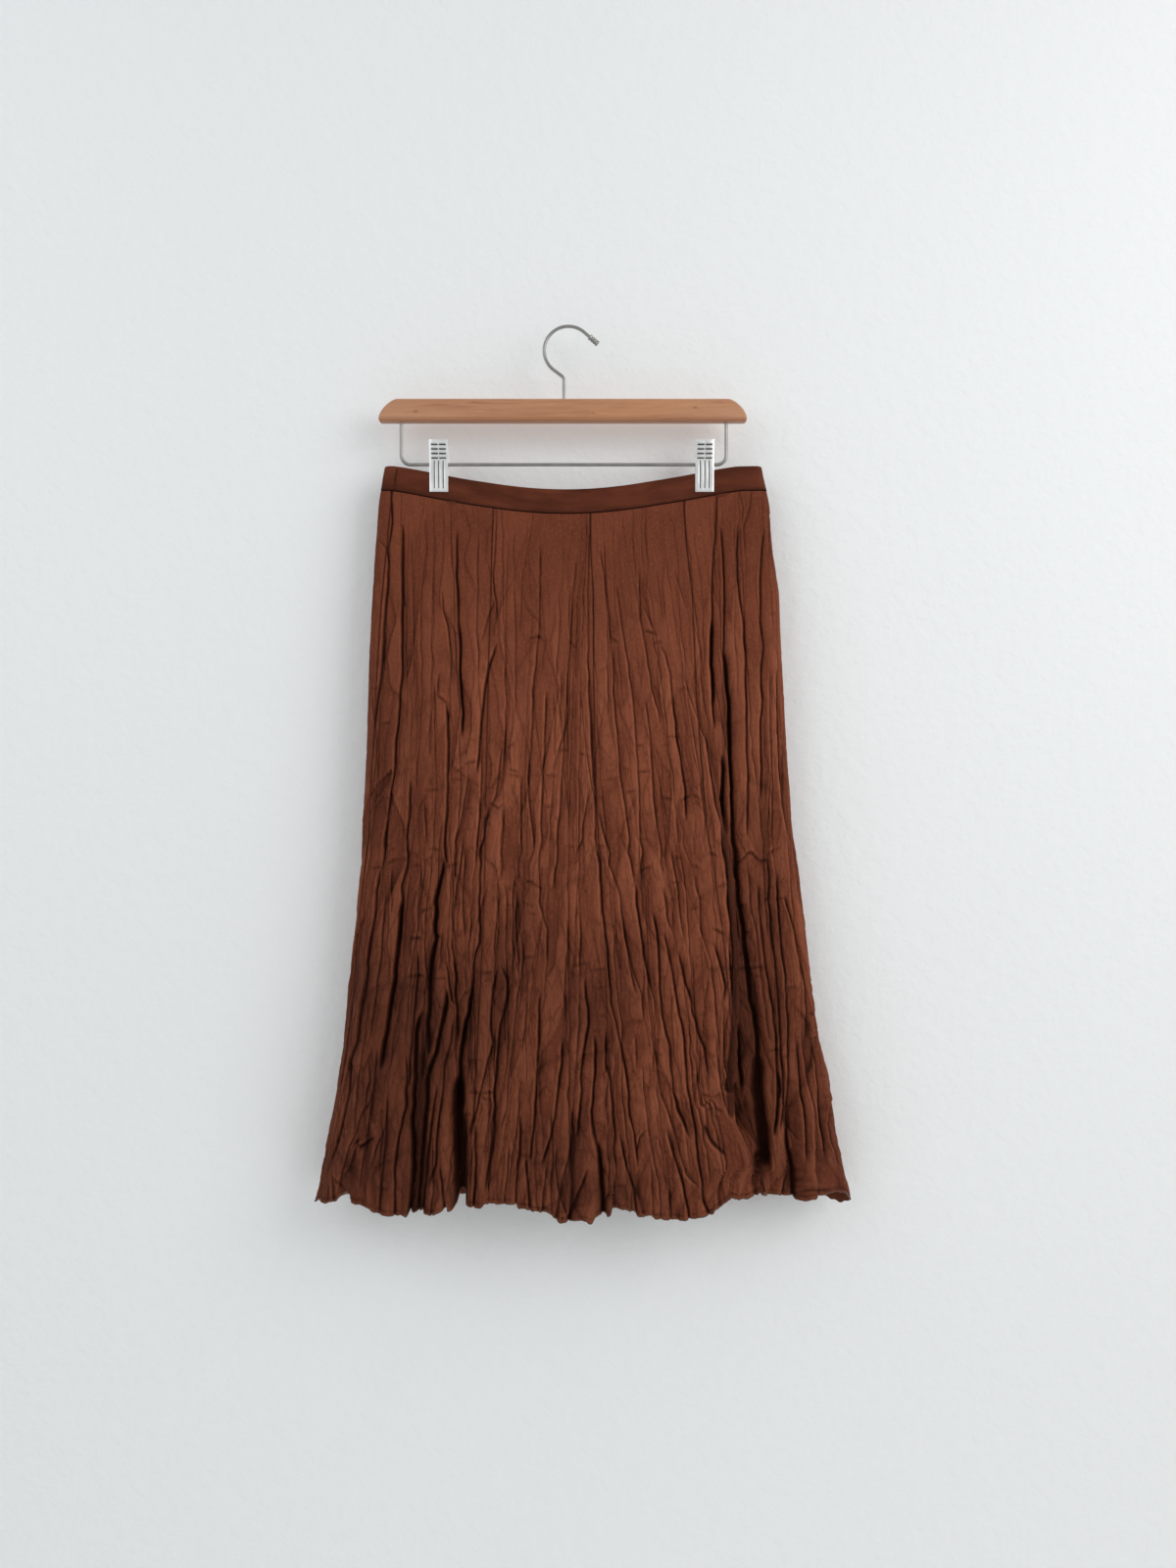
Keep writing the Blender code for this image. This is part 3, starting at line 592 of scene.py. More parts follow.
    ("medium", ((-178, -560), (-181, -610), (-186, -660), (-192, -700))),
    ("medium", ((-184, -700), (-190, -750), (-197, -800), (-202, -840))),
    ("medium", ((-206, -600), (-209, -650), (-214, -700), (-221, -745))),
    ("medium", ((-174, -740), (-178, -790), (-183, -845))),
    ("medium", ((-193.4, -720), (-192, -740), (-198, -770))),
    ("medium", ((-181.6, -765), (-180, -780), (-185.5, -794), (-191, -819))),
    ("strong", ((-188, -786), (-195, -791), (-203, -799), (-208, -806))),
    ("medium", ((-205, -806), (-210.6, -823), (-218.5, -835))),
    ("strong", ((-126, -805), (-123.5, -823), (-119, -860))),
    ("strong", ((-91, -770), (-90, -810), (-92, -848))),
    ("medium", ((-57, -790), (-59, -820), (-62, -850))),
    ("medium", ((-20, -800), (-24, -830), (-26, -856))),
    ("strong", ((-42, -800), (-40, -825), (-37, -856))),
    ("medium", ((97, -820), (99, -845), (98, -862))),
    ("medium", ((143, -690), (146, -730), (152, -765))),
    ("medium", ((52, -560), (58, -600), (66, -640))),
    ("medium", ((-100, -500), (-102, -540), (-100, -590))),
    ("medium", ((-70, -545), (-68, -580), (-70, -612))),
    ("medium", ((-50, -545), (-51, -580), (-48, -625))),
    ("faint", ((10, -520), (8, -560), (6, -600))),
    ("medium", ((0, -560), (-2, -600), (-4, -660))),
    ("medium", ((100, -500), (106, -540), (112, -590))),
)

# How a crease of each kind is pressed: its slot's depth and width, the soft trough round it, and
# how far the cloth on its right is tucked under
creaseKinds = {
    "faint": {"slot": 0.6, "width": 0.6, "trough": 0.3, "tuck": 0.6},
    "medium": {"slot": 1.2, "width": 0.7, "trough": 0.5, "tuck": 1.0},
    "strong": {"slot": 2.4, "width": 0.9, "trough": 0.9, "tuck": 1.5},
    "open": {"slot": 5.5, "width": 1.5, "trough": 2.0, "tuck": 1.8},
    "hollow": {"slot": 12.0, "width": 4.6, "trough": 3.0, "tuck": 1.0},
}

# Lines along which the pleats flow from waist to hem, as places across at the levels, which are
# heights as seen; small creases follow them
levels = (-200, -252, -304, -366, -442, -518, -594, -670, -746, -822)
flowLines = (
    (-187, -188.6, -190.5, -192.9, -195.7, -200, -207, -213.8, -224.2, -237.5),
    (-162.5, -160.5, -160.5, -163.4, -169.1, -180.5, -192.9, -201.4, -217, -229),
    (-138.1, -141, -142.5, -141.6, -140.1, -140.6, -148.2, -153.4, -161, -170),
    (-108.3, -105.9, -105.5, -102.6, -100.9, -110.2, -115, -107.8, -107.4, -107.4),
    (-59.4, -61.3, -60.8, -58.9, -61.3, -64.6, -70, -72, -74, -80),
    (-26.6, -26.1, -30.4, -35.2, -37, -38, -38, -44.2, -55.1, -62),
    (10.5, 4.8, 0.7, -1.4, -7.6, -13.8, -19, -24, -30, -35),
    (21.2, 19, 19, 19.5, 24.7, 29, 35.2, 43.2, 42.8, 49.4),
    (66.5, 69.8, 76, 83.6, 92.2, 98, 104.5, 111.2, 117.3, 126.4),
    (113.5, 119.7, 124.9, 129.7, 141.1, 153, 155.3, 158.7, 158, 187.6),
    (147.7, 151.4, 151.5, 153.9, 158.7, 162.5, 167.2, 176.7, 183.9, 192.5),
    (188.1, 186.7, 187.6, 191, 196.7, 201.1, 204.3, 211.4, 211.9, 216.6),
    (197.3, 200.9, 204.5, 207.1, 212.8, 223, 231.5, 238.9, 255.2, 269.3),
)

# The big flap: how much less the cloth right of its edge stands out, from which drop to which,
# how soon and how far across; from where that lies in painted shade; and the painted highlight along the edge
flap = {"step": 0.55, "stepFrom": 240.0, "full": 620.0, "stepWide": 0.009, "near": 1.15, "fade": 0.45,
        "shadeFrom": 260.0, "rimAt": 1.6, "rimWide": 1.3, "rimFrom": 560.0, "rimTo": 740.0}

# Its edge as seen, place across and height, and how far across its painted shade reaches at each height
flapEdge = ((113, -175), (119, -250), (129, -345), (134, -405), (143, -470), (153, -520), (157, -593),
            (158, -640), (157, -690), (153, -730), (153, -765), (160, -777), (168, -787), (179, -801),
            (186, -811), (188, -850))
flapShade = table("z reach", (-300, 4), (-480, 9), (-580, 20), (-690, 38), (-765, 46), (-800, 18), (-835, 6))

# The hem as seen: place across, and height
hemLine = (
    (-247, -844.6), (-237, -848.4), (-230, -846.6), (-225, -841), (-220, -837), (-217, -838.6),
    (-214.5, -846), (-205, -849), (-189.5, -856), (-179, -859), (-163, -860), (-156.5, -862),
    (-155, -855), (-151, -857), (-143, -856), (-140.6, -860), (-134, -860), (-126, -856),
    (-119.5, -850.5), (-118, -856), (-114, -857), (-111.5, -853), (-110, -840), (-103, -841),
    (-101.6, -850.5), (-86.5, -852.4), (-84, -848.7), (-52, -849), (-49.6, -853), (-31, -856),
    (-18, -858.4), (-6, -865), (11, -864.5), (18, -864), (20, -866), (23, -866.5), (26, -861), (37, -860),
    (38, -863), (40.5, -861), (41.5, -853.6), (46, -852.5), (64, -854.7), (67, -860), (81, -860),
    (84, -863), (120, -863), (140, -860), (142.5, -855.5), (151, -850), (159, -844), (167.6, -845.8),
    (179, -843), (195.6, -838.8), (206.8, -840), (218, -843), (220.7, -846.6), (232, -844.4), (241, -845),
    (242, -841.6), (254, -838.8), (272.4, -837.4), (275, -834),
)

# Little kinks where a pleat is crushed: place across and height as seen, half length, slant, depth
kinks = table(
    "x z reach slant depth",
    (-177, -383, 4, 0.2, 1.0), (-122, -360, 6, -0.7, 1.6), (-57, -405, 4, 0.6, 1.0),
    (-54, -429, 5, -0.3, 1.1), (-17, -434, 5, 0.0, 0.9), (-19, -464, 4, 0.0, 1.0),
    (-7, -409, 7, 0.1, 0.8), (-95, -421, 6, 0.2, 1.1), (-105, -428, 4, 0.6, 0.9),
    (-132, -448, 6, 0.1, 1.2), (-72, -463, 5, -0.6, 1.1), (-66, -464, 4, 0.6, 0.9),
    (-184, -460, 6, 1.2, 0.9), (-186, -523, 5, 0.1, 1.2), (-172, -517, 5, 0.5, 1.3),
    (-134, -514, 4, 0.6, 1.0), (-148, -521, 5, 0.1, 1.0), (-114, -521, 6, 0.4, 1.2),
    (-34, -300, 6, 0.4, 1.2), (-27, -301, 4, -0.8, 1.1), (3, -306, 4, -1.0, 0.9),
    (45, -303, 3, -0.6, 1.4), (80, -295, 6, -0.3, 1.7), (86, -305, 5, 0.2, 0.8), (35, -330, 6, 0.6, 0.6),
    (101, -396, 6, 0.0, 0.8), (96, -456, 5, -0.2, 1.2), (113, -456, 5, 0.6, 1.2),
    (125, -455, 4, -0.6, 1.0), (69, -405, 5, 0.0, 0.9), (72, -430, 6, 0.1, 0.9), (56, -428, 5, -0.3, 0.7),
    (15, -414, 6, -0.3, 0.7), (43, -437, 8, 0.1, 0.6), (139, -510, 5, -0.3, 1.4), (75, -524, 6, 0.4, 1.1),
    (166, -515, 5, 1.0, 2.0), (174, -509, 5, 0.1, 2.0), (181, -513, 5, -0.9, 2.0),
    (189, -516, 5, 0.1, 1.6), (198, -508, 5, 0.8, 1.6), (-148, -591.5, 5.5, 0.0, 2.2),
    (-149, -628, 8, 0.1, 1.7), (-139, -565, 6, 0.4, 1.2), (-38, -537, 4, 0.0, 1.8),
    (-30, -541, 5, -0.5, 1.0), (-78, -625, 4, 0.1, 1.5), (-78, -632, 3, 0.3, 1.0),
    (-38, -610, 5, 0.2, 1.2), (-127, -590, 4, 0.3, 1.1), (146, -585, 6, -0.5, 1.6),
    (121, -563, 4, 0.3, 1.0), (172, -586, 4, 0.3, 1.4), (169, -621, 7, 0.1, 1.6),
    (183, -620, 7, 0.1, 1.5), (236, -665, 4, -0.2, 1.2), (238, -688, 4, 0.4, 1.0),
    (-92, -741, 6, 0.0, 1.8), (-80, -741, 7, 0.05, 2.0), (-82, -746, 5, -0.3, 1.3),
    (134, -744, 4, -0.3, 1.5), (140, -752, 4, -1.2, 1.3), (137, -757, 4, 0.4, 1.0),
    (145, -758, 4, -0.4, 1.3), (-222, -829, 5, -1.0, 1.6), (-201, -789, 8, 0.45, -1.8),
    (236, -835, 18, 0.1, 1.6), (232, -829, 12, 0.0, -1.4), (197, -795, 4, 0.8, -1.8),
    (200, -700, 6, 0.3, 1.0), (30, -622, 6, 0.1, 0.8), (12, -617, 7, 0.1, 0.9), (60, -450, 6, 0.1, 0.7),
    (150, -540, 5, 0.3, 1.0), (168, -560, 5, 0.2, 1.2), (215, -640, 6, 0.2, 0.9),
)

# Painted shade (or, with less than 0, painted light) in soft places as seen: place, how far across and down,
# how much
paintedTones = table(
    "x z wide tall amount",
    (152, -385, 4.5, 60, 0.55), (164, -425, 7, 90, 0.2), (191, -430, 3.5, 80, 0.45),
    (198.5, -425, 2.2, 95, -0.7), (-98, -475, 7, 38, 0.3), (-42, -460, 5, 70, 0.22),
    (-110, -310, 4, 50, 0.35), (-122, -520, 5, 40, 0.3), (-133, -617, 4, 22, 0.7),
    (-104, -805, 8, 38, 1.0), (-148, -840, 6, 25, 0.7), (-140, -770, 6, 60, 0.45),
    (187, -795, 7, 34, 1.0), (172, -690, 9, 90, 0.35), (31, -840, 5, 26, 0.6), (60, -835, 14, 16, 0.3),
    (205, -690, 10, 60, 0.15), (-95, -690, 6, 35, 0.3), (-63, -660, 5, 40, 0.25),
    (-120, -700, 10, 60, 0.25), (-20, -700, 14, 70, -0.15), (-160, -300, 12, 90, 0.12),
    (75, -400, 30, 120, -0.12), (-75, -520, 20, 60, -0.12), (20, -560, 20, 60, -0.15),
    (5, -835, 12, 20, 0.25), (-78, -800, 5, 30, 0.3), (248, -780, 6, 50, 0.2), (-212, -820, 8, 20, 0.3),
    (212, -810, 4, 24, 0.4), (-165, -750, 62, 130, 0.74), (190, -610, 26, 140, 0.4),
    (110, -700, 30, 80, -0.15), (0, -805, 75, 60, 0.38), (-60, -640, 70, 120, 0.38),
    (35, -650, 40, 70, 0.32), (228, -760, 30, 110, 0.2), (-188, -360, 10, 150, 0.12),
    (-165, -500, 45, 190, 0.4), (-165, -330, 40, 100, 0.06), (185, -470, 14, 110, 0.1),
    (206, -330, 6, 130, -0.3),
)

clipBoxes = [nodeBox("clip_" + side + "_front") for side in ("left", "right")]
clipCentres = [(low[0] + high[0]) / 2 for low, high in clipBoxes]
clipWidth = clipBoxes[1][1][0] - clipBoxes[1][0][0]


def sectionAt(z, column):
    return np.interp(-z, [-row["z"] for row in sections], [row[column] for row in sections])


def pinch(x):                    # 1 where a clip presses the cloth together
    nearest = np.min([np.abs(x - centre) for centre in clipCentres], axis=0)
    return 1.0 - ease(nearest, 0.6 * clipWidth, 3.0 * clipWidth)


def edgeAt(z):                   # where the flap's edge is seen at each height
    return np.interp(-z, [-height for place, height in flapEdge], [place for place, height in flapEdge])


def standOff(x, z, side):        # how far the cloth stands from the middle plane
    depth = sectionAt(z, side)
    clamp = 1.0 - ease(skirt["seamZ"] - z, 0.0, skirt["clampFade"])
    depth = depth + (skirt["clampedDepth"] - depth) * clamp * pinch(x)
    if side == "front":
        edge = edgeAt(z)
        left, right = sectionAt(z, "left"), sectionAt(z, "right")
        share, start = (x - left) / (right - left), (edge - left) / (right - left)
        step = ease(-z, flap["stepFrom"], flap["full"]) * ease(share, start, start + flap["stepWide"])
        step = step * (flap["near"] - flap["fade"] * np.clip((share - start) / (1.0 - start), 0.0, 1.0))
        depth = depth * (1.0 - flap["step"] * step)
    return depth


def halfOutline(z, side):
    # points of the front or the back at one height, from left to right
    samples = 120
    left, right, turn = (sectionAt(z, column) for column in ("left", "right", "turn"))
    bends = np.linspace(0.0, math.pi / 2, samples + 1)
    flat = np.linspace(left + turn, right - turn, samples + 1)[1:-1]
    x = np.concatenate([left + turn * (1 - np.cos(bends)), flat, right - turn * (1 - np.cos(bends[::-1]))])
    rise = np.concatenate([np.sin(bends), np.ones(len(flat)), np.sin(bends[::-1])])
    facing = -1.0 if side == "front" else 1.0
    return x, facing * standOff(x, np.full_like(x, z), side) * rise


def ringTable():
    # the smooth skirt as a grid: heights by places round it, and the length of each half
    heights = np.arange(-124.0, -872.0, -4.0)
    places = np.linspace(0.0, 1.0, 1601)
    xs, ys, lengths = [], [], []
    for z in heights:
        row, halves = [], []
        for side in ("front", "back"):
            x, y = halfOutline(z, side)
            if side == "back":
                x, y = x[::-1], y[::-1]
            run = np.concatenate([[0.0], np.cumsum(np.hypot(np.diff(x), np.diff(y)))])
            share = np.linspace(0.0, 1.0, 801)
            row.append([np.interp(share * run[-1], run, c) for c in (x, y)])
            halves.append(run[-1])
        xs.append(np.concatenate([row[0][0][:-1], row[1][0]]))
        ys.append(np.concatenate([row[0][1][:-1], row[1][1]]))
        lengths.append(halves)
    soften = np.array([1, 4, 6, 4, 1]) / 16.0
    grids = []
    for grid in (np.array(xs), np.array(ys)):
        padded = np.concatenate([grid[:1]] * 2 + [grid] + [grid[-1:]] * 2)
        grids.append(sum(k * padded[i:i + len(grid)] for i, k in enumerate(soften)))
    return heights, places, grids, np.array(lengths)


ringHeights, ringPlaces, ringGrids, ringLengths = ringTable()


def ringPoint(around, z):
    # x and y of the smooth skirt for arrays of places (one for each column) and heights
    around = np.asarray(around) % 1.0
    out = []
    for grid in ringGrids:
        line = np.array([np.interp(around, ringPlaces, row) for row in grid])
        out.append(np.stack(
            [np.interp(-z[:, i], -ringHeights, line[:, i]) for i in range(len(around))], axis=1))
    return out


def halfLength(around, z):       # length along the cloth of the front or the back at each height
    along = [np.interp(-z, -ringHeights, ringLengths[:, i]) for i in (0, 1)]
    return np.where((np.asarray(around) % 1.0) < 0.5, along[0], along[1])


def seamZ(around):               # height of the waist seam, which sags between its ends
    around = np.asarray(around) % 1.0
    across = np.where(around <= 0.5, 2 * around, 2 * (1 - around))
    share = np.clip((across - skirt["sagStart"]) / skirt["sagReach"], 0.0, 1.0)
    return skirt["seamZ"] - skirt["sag"] * np.sin(math.pi * share) ** skirt["sagShape"]


# The waves of the back's hem: how many there are in a turn, how high, and where they start
hemWaves = table("count high turned", (7, 2.6, 0.6), (17, 1.8, 0.0), (29, 1.2, 0.0))


def hemHeight(around):
    # real height of the hem: on the front from the line as seen, and wavy on the back
    around = np.asarray(around) % 1.0
    z = np.full((1, len(around)), skirt["hemZ"])
    x, y = (c[0] for c in ringPoint(around, z))
    seenX = asSeen(x, y, z[0])[0]
    line = np.array(hemLine)
    seenZ = np.interp(seenX, line[:, 0], line[:, 1])
    scale = view["distance"] / (view["distance"] + y)
    front = (seenZ - view["z"]) / scale + view["z"]
    turn = 2 * math.pi * around
    back = skirt["hemZ"]
    for wave in hemWaves:
        back = back + wave["high"] * np.sin(wave["count"] * turn + wave["turned"])
    onFront = ease(around, 0.0, 0.012) * ease(-around, -0.5, -0.488)
    along = around * 1000.0
    ragged = roughField(along, 0 * along, 9.0, 1.0, 17) + 0.8 * roughField(along, 0 * along, 4.0, 1.0, 18)
    return front * onFront + back * (1.0 - onFront) + 1.1 * ragged


def inwardAt(around, z):         # unit vector into the skirt, at each grid point
    ahead = ringPoint(np.asarray(around) + 0.0015, z)
    behind = ringPoint(np.asarray(around) - 0.0015, z)
    dx, dy = ahead[0] - behind[0], ahead[1] - behind[1]
    size = np.hypot(dx, dy)
    return -dy / size, dx / size


def pathPlaces(path, seenZ):
    # a crease's place at each height, how present it is there as it fades at its ends, and its lean
    drops = [-z for x, z in path]
    place = np.interp(-seenZ, drops, [x for x, z in path])
    fade = min(14.0, 0.3 * (drops[-1] - drops[0]))
    present = np.ones_like(seenZ)
    if drops[0] > 182.0:
        present = present * ease(-seenZ, drops[0] - 3.0, drops[0] + fade)
    if drops[-1] < 845.0:
        present = present * (1.0 - ease(-seenZ, drops[-1] - fade, drops[-1] + 3.0))
    lean = np.gradient(place, -seenZ)
    return place, present, 1.0 / np.sqrt(1.0 + lean * lean)


# Heights at which pleats are knocked sideways, how far up and down, and by how much
jolted = table("z reach shift", (-508, 16, 3.2), (-560, 22, 1.6), (-655, 24, 1.2), (-742, 22, 1.4),
               (-330, 30, 0.9))


def jolts(x, z, seed):           # how far each place is knocked sideways
    shift = 0.45 * roughField(x, -z, 15.0, 1.6, seed) + 0.3 * roughField(x, -z, 7.0, 1.3, seed + 1)
    for number, jolt in enumerate(jolted):
        band = np.exp(-((z - jolt["z"]) / jolt["reach"]) ** 2)
        shift = shift + band * jolt["shift"] * roughField(x, -z, 14.0, 1.1, seed + 2 + number)
    ends = np.minimum(np.abs(x - x[:, :1]), np.abs(x - x[:, -1:]))
    return shift * ease(ends, 1.0, 22.0)


class Half:
    # the front or the back of the skirt as a grid on which creases are pressed
    def __init__(self, around, z, mirrored):
        self.around = around
        self.z = z
        self.mirrored = mirrored
        x, y = ringPoint(around, z)
        self.seenX, self.seenZ = asSeen(x, y, z)
        if mirrored:
            self.seenX, self.seenZ = -x, z
        self.seenX = self.seenX + jolts(self.seenX, self.seenZ, 130 if mirrored else 120)
        self.run = 2.0 * halfLength(around[None, :], z)
        self.rowZ = self.seenZ.mean(axis=1)
        self.grow = growth(self.seenZ)
        self.rowGrowth = growth(self.rowZ)
        self.depth = np.zeros_like(z)
        self.slots = np.zeros_like(z)
        self.pastFlap = self.seenX - edgeAt(self.rowZ)[:, None]
        self.rims = self.flapHighlight()
        self.tone = self.paintedTones()
        self.flow = self.flowPlaces()

    def flapHighlight(self):               # painted highlight along the flap's edge
        if self.mirrored:
            return np.zeros_like(self.z)
        rim = np.exp(-((self.pastFlap + flap["rimAt"]) / flap["rimWide"]) ** 2)
        return rim * ease(-self.seenZ, flap["rimFrom"], flap["rimTo"])

    def paintedTones(self):
        # how much painted shade each place gets, painted light where below 0; most of all right of the flap's
        # edge, where it lies in shade
        if self.mirrored:
            return np.zeros_like(self.z)
        drops = [-row["z"] for row in flapShade]
        reach = np.interp(-self.rowZ, drops, [row["reach"] for row in flapShade])[:, None]
        total = ease(self.pastFlap, 0.0, 1.5) * (1.0 - ease(self.pastFlap, 0.3 * reach, reach))
        total = total * ease(-self.seenZ, flap["shadeFrom"], flap["full"])
        for tone in paintedTones:
            across, down = (self.seenX - tone["x"]) / tone["wide"], (self.seenZ - tone["z"]) / tone["tall"]
            total = total + tone["amount"] * np.exp(-across ** 2 - down ** 4)
        return total

    def flowPlaces(self):
        # mm across the skirt, measured between the lines along which the pleats flow
        drops = [-level for level in levels]
        lines = np.array([np.interp(-self.rowZ, drops, line) for line in flowLines]).T
        if self.mirrored:
            lines = -lines[:, ::-1]
        crossed = np.array([np.interp(line, seen, self.around) for line, seen in zip(lines, self.seenX)])
        crossed[:, 0], crossed[:, -1] = self.around[0], self.around[-1]
        widths = (np.diff(crossed, axis=1) * self.run.mean(axis=1)[:, None]).mean(axis=0)
        self.starts = np.concatenate([[0.0], np.cumsum(widths)])
        self.spread = self.run / self.run.mean()
        return np.array([np.interp(self.around, line, self.starts) for line in crossed])

    def wander(self, number, cell, seed):        # how a crease strays from row to row
        return roughField(self.rowZ, 40.0 * number + 0 * self.rowZ, cell, 1.0, seed)

    def distance(self, places):      # mm along the cloth from a line given at each row, + to the right
        at = np.array([np.interp(place, seen, self.around) for place, seen in zip(places, self.seenX)])
        return (self.around[None, :] - at[:, None]) * self.run

    def press(self, gap, trough, slot, width, tuck):
        # a soft trough, a narrow slot, and the cloth right of it tucked under that on the left
        away = np.abs(gap)
        cut = np.exp(-(away / width) ** 2)
        lip = np.exp(-((gap + 1.4 * width + 0.5) / (0.6 * width + 0.4)) ** 2)
        under = np.exp(-np.clip(gap, 0.0, None) / 11.0) * ease(gap, -0.5, 0.5)
        self.depth += trough[:, None] * np.exp(-away / 3.0) + slot[:, None] * cut
        self.depth += tuck[:, None] * (under - 0.35 * lip)
        # the slot's mark is painted shade
        self.slots = np.maximum(self.slots, cut * np.clip(0.35 + slot[:, None] / 2.5, 0.0, 1.0)
                                * ease(slot + tuck, 0.1, 0.9)[:, None])
        # a painted highlight beside the slot
        rim = np.exp(-((gap + 1.7 * width + 0.7) / 0.9) ** 2)
        self.rims = np.maximum(self.rims, rim * ease(slot + tuck, 0.4, 2.4)[:, None])


# Creases deepen on their way down: the share of their depth at each drop
deepening = table("drop share", (150, 0.3), (185, 0.5), (240, 0.65), (320, 0.75), (442, 0.88), (560, 1.0),
                  (700, 1.1), (843, 1.2))


def growth(seenZ):
    return np.interp(-seenZ, [row["drop"] for row in deepening], [row["share"] for row in deepening])


def pressMainCreases(half):
    for number, crease in enumerate(creases):
        kind = creaseKinds[crease["kind"]]
        if half.mirrored and crease["kind"] == "hollow":
            kind = creaseKinds["strong"]
        places, present, upright = pathPlaces(crease["path"], half.rowZ)
        if half.mirrored:
            places = -places + 9.0 * half.wander(number, 260.0, 5)
        places = places + 0.5 * half.wander(number, 48.0, 11) + 0.25 * half.wander(number, 13.0, 15)
        strength = (1.0 + 0.3 * half.wander(number, 36.0, 12)) * present * (0.7 + 0.3 * half.rowGrowth)
        if half.mirrored:
            strength = strength * skirt["backShare"]
        tuck = strength * kind["tuck"] * (1.0 + 0.5 * half.wander(number, 60.0, 14))
        gap = half.distance(places) * upright[:, None]
        half.press(gap, kind["trough"] * strength, kind["slot"] * strength, kind["width"], tuck)


# The short seeded creases on each half: how many, how each is pressed, and how far its ends fade
smallCreases = {"count": 130, "trough": 0.1, "slot": 0.85, "width": 0.55, "tuck": 0.55, "fade": 22.0}


def pressSmallCreases(half):
    chance = np.random.default_rng(23 if half.mirrored else 7)
    width = half.starts[-1]
    for number in range(smallCreases["count"]):
        place = width * (number + chance.uniform(0.0, 1.0)) / smallCreases["count"]
        first, reach = 150.0 + chance.uniform(-120, 640), chance.uniform(60, 300)
        lean = chance.uniform(-0.07, 0.07)
        if number % 3 == 1:          # shorter, lower and more aslant
            first, reach, lean = max(first, 330.0), 0.6 * reach, 3.5 * lean
        if number % 6 == 0:          # from waist to hem
            first, reach, lean = 150.0, 760.0, 0.4 * lean
        size = chance.uniform(0.4, 1.4)
        line = place + lean * (-half.rowZ - first) + 2.0 * half.wander(number, 70.0, 31)
        line = line + 0.7 * half.wander(number, 12.0, 33)
        last, fade = first + reach, smallCreases["fade"]
        present = ease(-half.rowZ, first, first + fade) * (1.0 - ease(-half.rowZ, last - fade, last))
        strength = present * growth(half.rowZ) * size * (1.0 + 0.6 * half.wander(number, 24.0, 32))
        gap = (half.flow - line[:, None]) * half.spread
        half.press(gap, smallCreases["trough"] * strength, smallCreases["slot"] * strength,
                   smallCreases["width"], smallCreases["tuck"] * strength)


def dent(half, x, z, reach, slant, depth):
    # a short bent crease across the pleats, with a soft rise below it
    rows = np.flatnonzero(np.abs(half.rowZ - z) < 30.0)
    if len(rows) == 0:
        return
    cut = slice(rows[0], rows[-1] + 1)
    along = half.seenX[cut] - x
    off = half.seenZ[cut] - z - slant * along + 0.012 * along * along
    within = np.exp(-(along / reach) ** 4)
    half.depth[cut] += depth * within * (np.exp(-(off / 1.6) ** 2) - 0.6 * np.exp(-((off - 3.4) / 2.2) ** 2))
    # the dent's mark is painted shade
    half.slots[cut] = np.maximum(half.slots[cut], 0.55 * min(depth, 1.0) * within * np.exp(-(off / 1.1) ** 2))


# Heights at which pleats are crushed across, how many short creases lie there, and how they spread
crushes = table("z count scatter reach depth", (-402, 14, 5, 4.0, 0.4), (-430, 14, 5, 4.5, 0.45),
                (-462, 14, 6, 4.5, 0.45), (-512, 16, 8, 4.0, 0.7), (-560, 10, 12, 4.0, 0.6),
                (-640, 12, 25, 4.5, 0.6), (-740, 12, 30, 5.0, 0.7), (-310, 10, 30, 3.5, 0.45),
                (-800, 8, 15, 4.5, 0.6))


def pressKinks(half):
    sign, lift = (-1.0, 30.0) if half.mirrored else (1.0, 0.0)
    for kink in kinks:
        dent(half, sign * kink["x"], kink["z"] + lift, kink["reach"], sign * kink["slant"], kink["depth"])
    chance = np.random.default_rng(57 if half.mirrored else 41)
    for crush in crushes:
        for number in range(crush["count"]):
            x = chance.uniform(-200.0, 215.0)
            z = crush["z"] + lift + crush["scatter"] * chance.normal()
            dent(half, x, z, crush["reach"] * chance.uniform(0.5, 1.5), chance.uniform(-0.35, 0.35),
                 crush["depth"] * chance.uniform(0.4, 1.4))


# Broad ups and downs near the hem: place across as seen, width, height outwards
flutes = table("x wide high", (-190, 26, 3.0), (-130, 9, -4.0), (-107, 9, -9.0), (-60, 30, 2.0),
               (5, 26, 4.0), (34, 7, -5.0), (100, 34, 3.0), (186, 12, -5.0), (216, 7, -4.0), (236, 14, 3.0))


def pressFlutes(half):
    grow = ease(-half.seenZ, 560.0, 860.0)
    sign, share = (-1.0, 0.5) if half.mirrored else (1.0, 1.0)
    for flute in flutes:
        bell = np.exp(-((half.seenX - sign * flute["x"]) / flute["wide"]) ** 2)
        half.depth -= share * flute["high"] * grow * bell


def cells(across, down, wide, tall, seed):
    # long irregular cells: how far their edges are, and a plane that leans its own way in each
    chance = np.random.default_rng(seed)
    spots = chance.uniform(0.0, 1.0, (2, 64, 64))
    leans = chance.uniform(-1.0, 1.0, (2, 64, 64))
    u, v = across / wide, down / tall
    i, j = np.floor(u).astype(int), np.floor(v).astype(int)
    nearest, second, plane = np.full(u.shape, 9.0), np.full(u.shape, 9.0), np.zeros(u.shape)
    for column in (-1, 0, 1):
        for row in (-1, 0, 1):
            a, b = (i + column) % 64, (j + row) % 64
            du = u - (i + column) - spots[0, a, b]
            dv = v - (j + row) - spots[1, a, b]
            far = np.hypot(du, dv)
            closer = far < nearest
            second = np.where(closer, nearest, np.minimum(second, far))
            plane = np.where(closer, leans[0, a, b] * du + 0.4 * leans[1, a, b] * dv, plane)
            nearest = np.where(closer, far, nearest)
    return second - nearest, plane


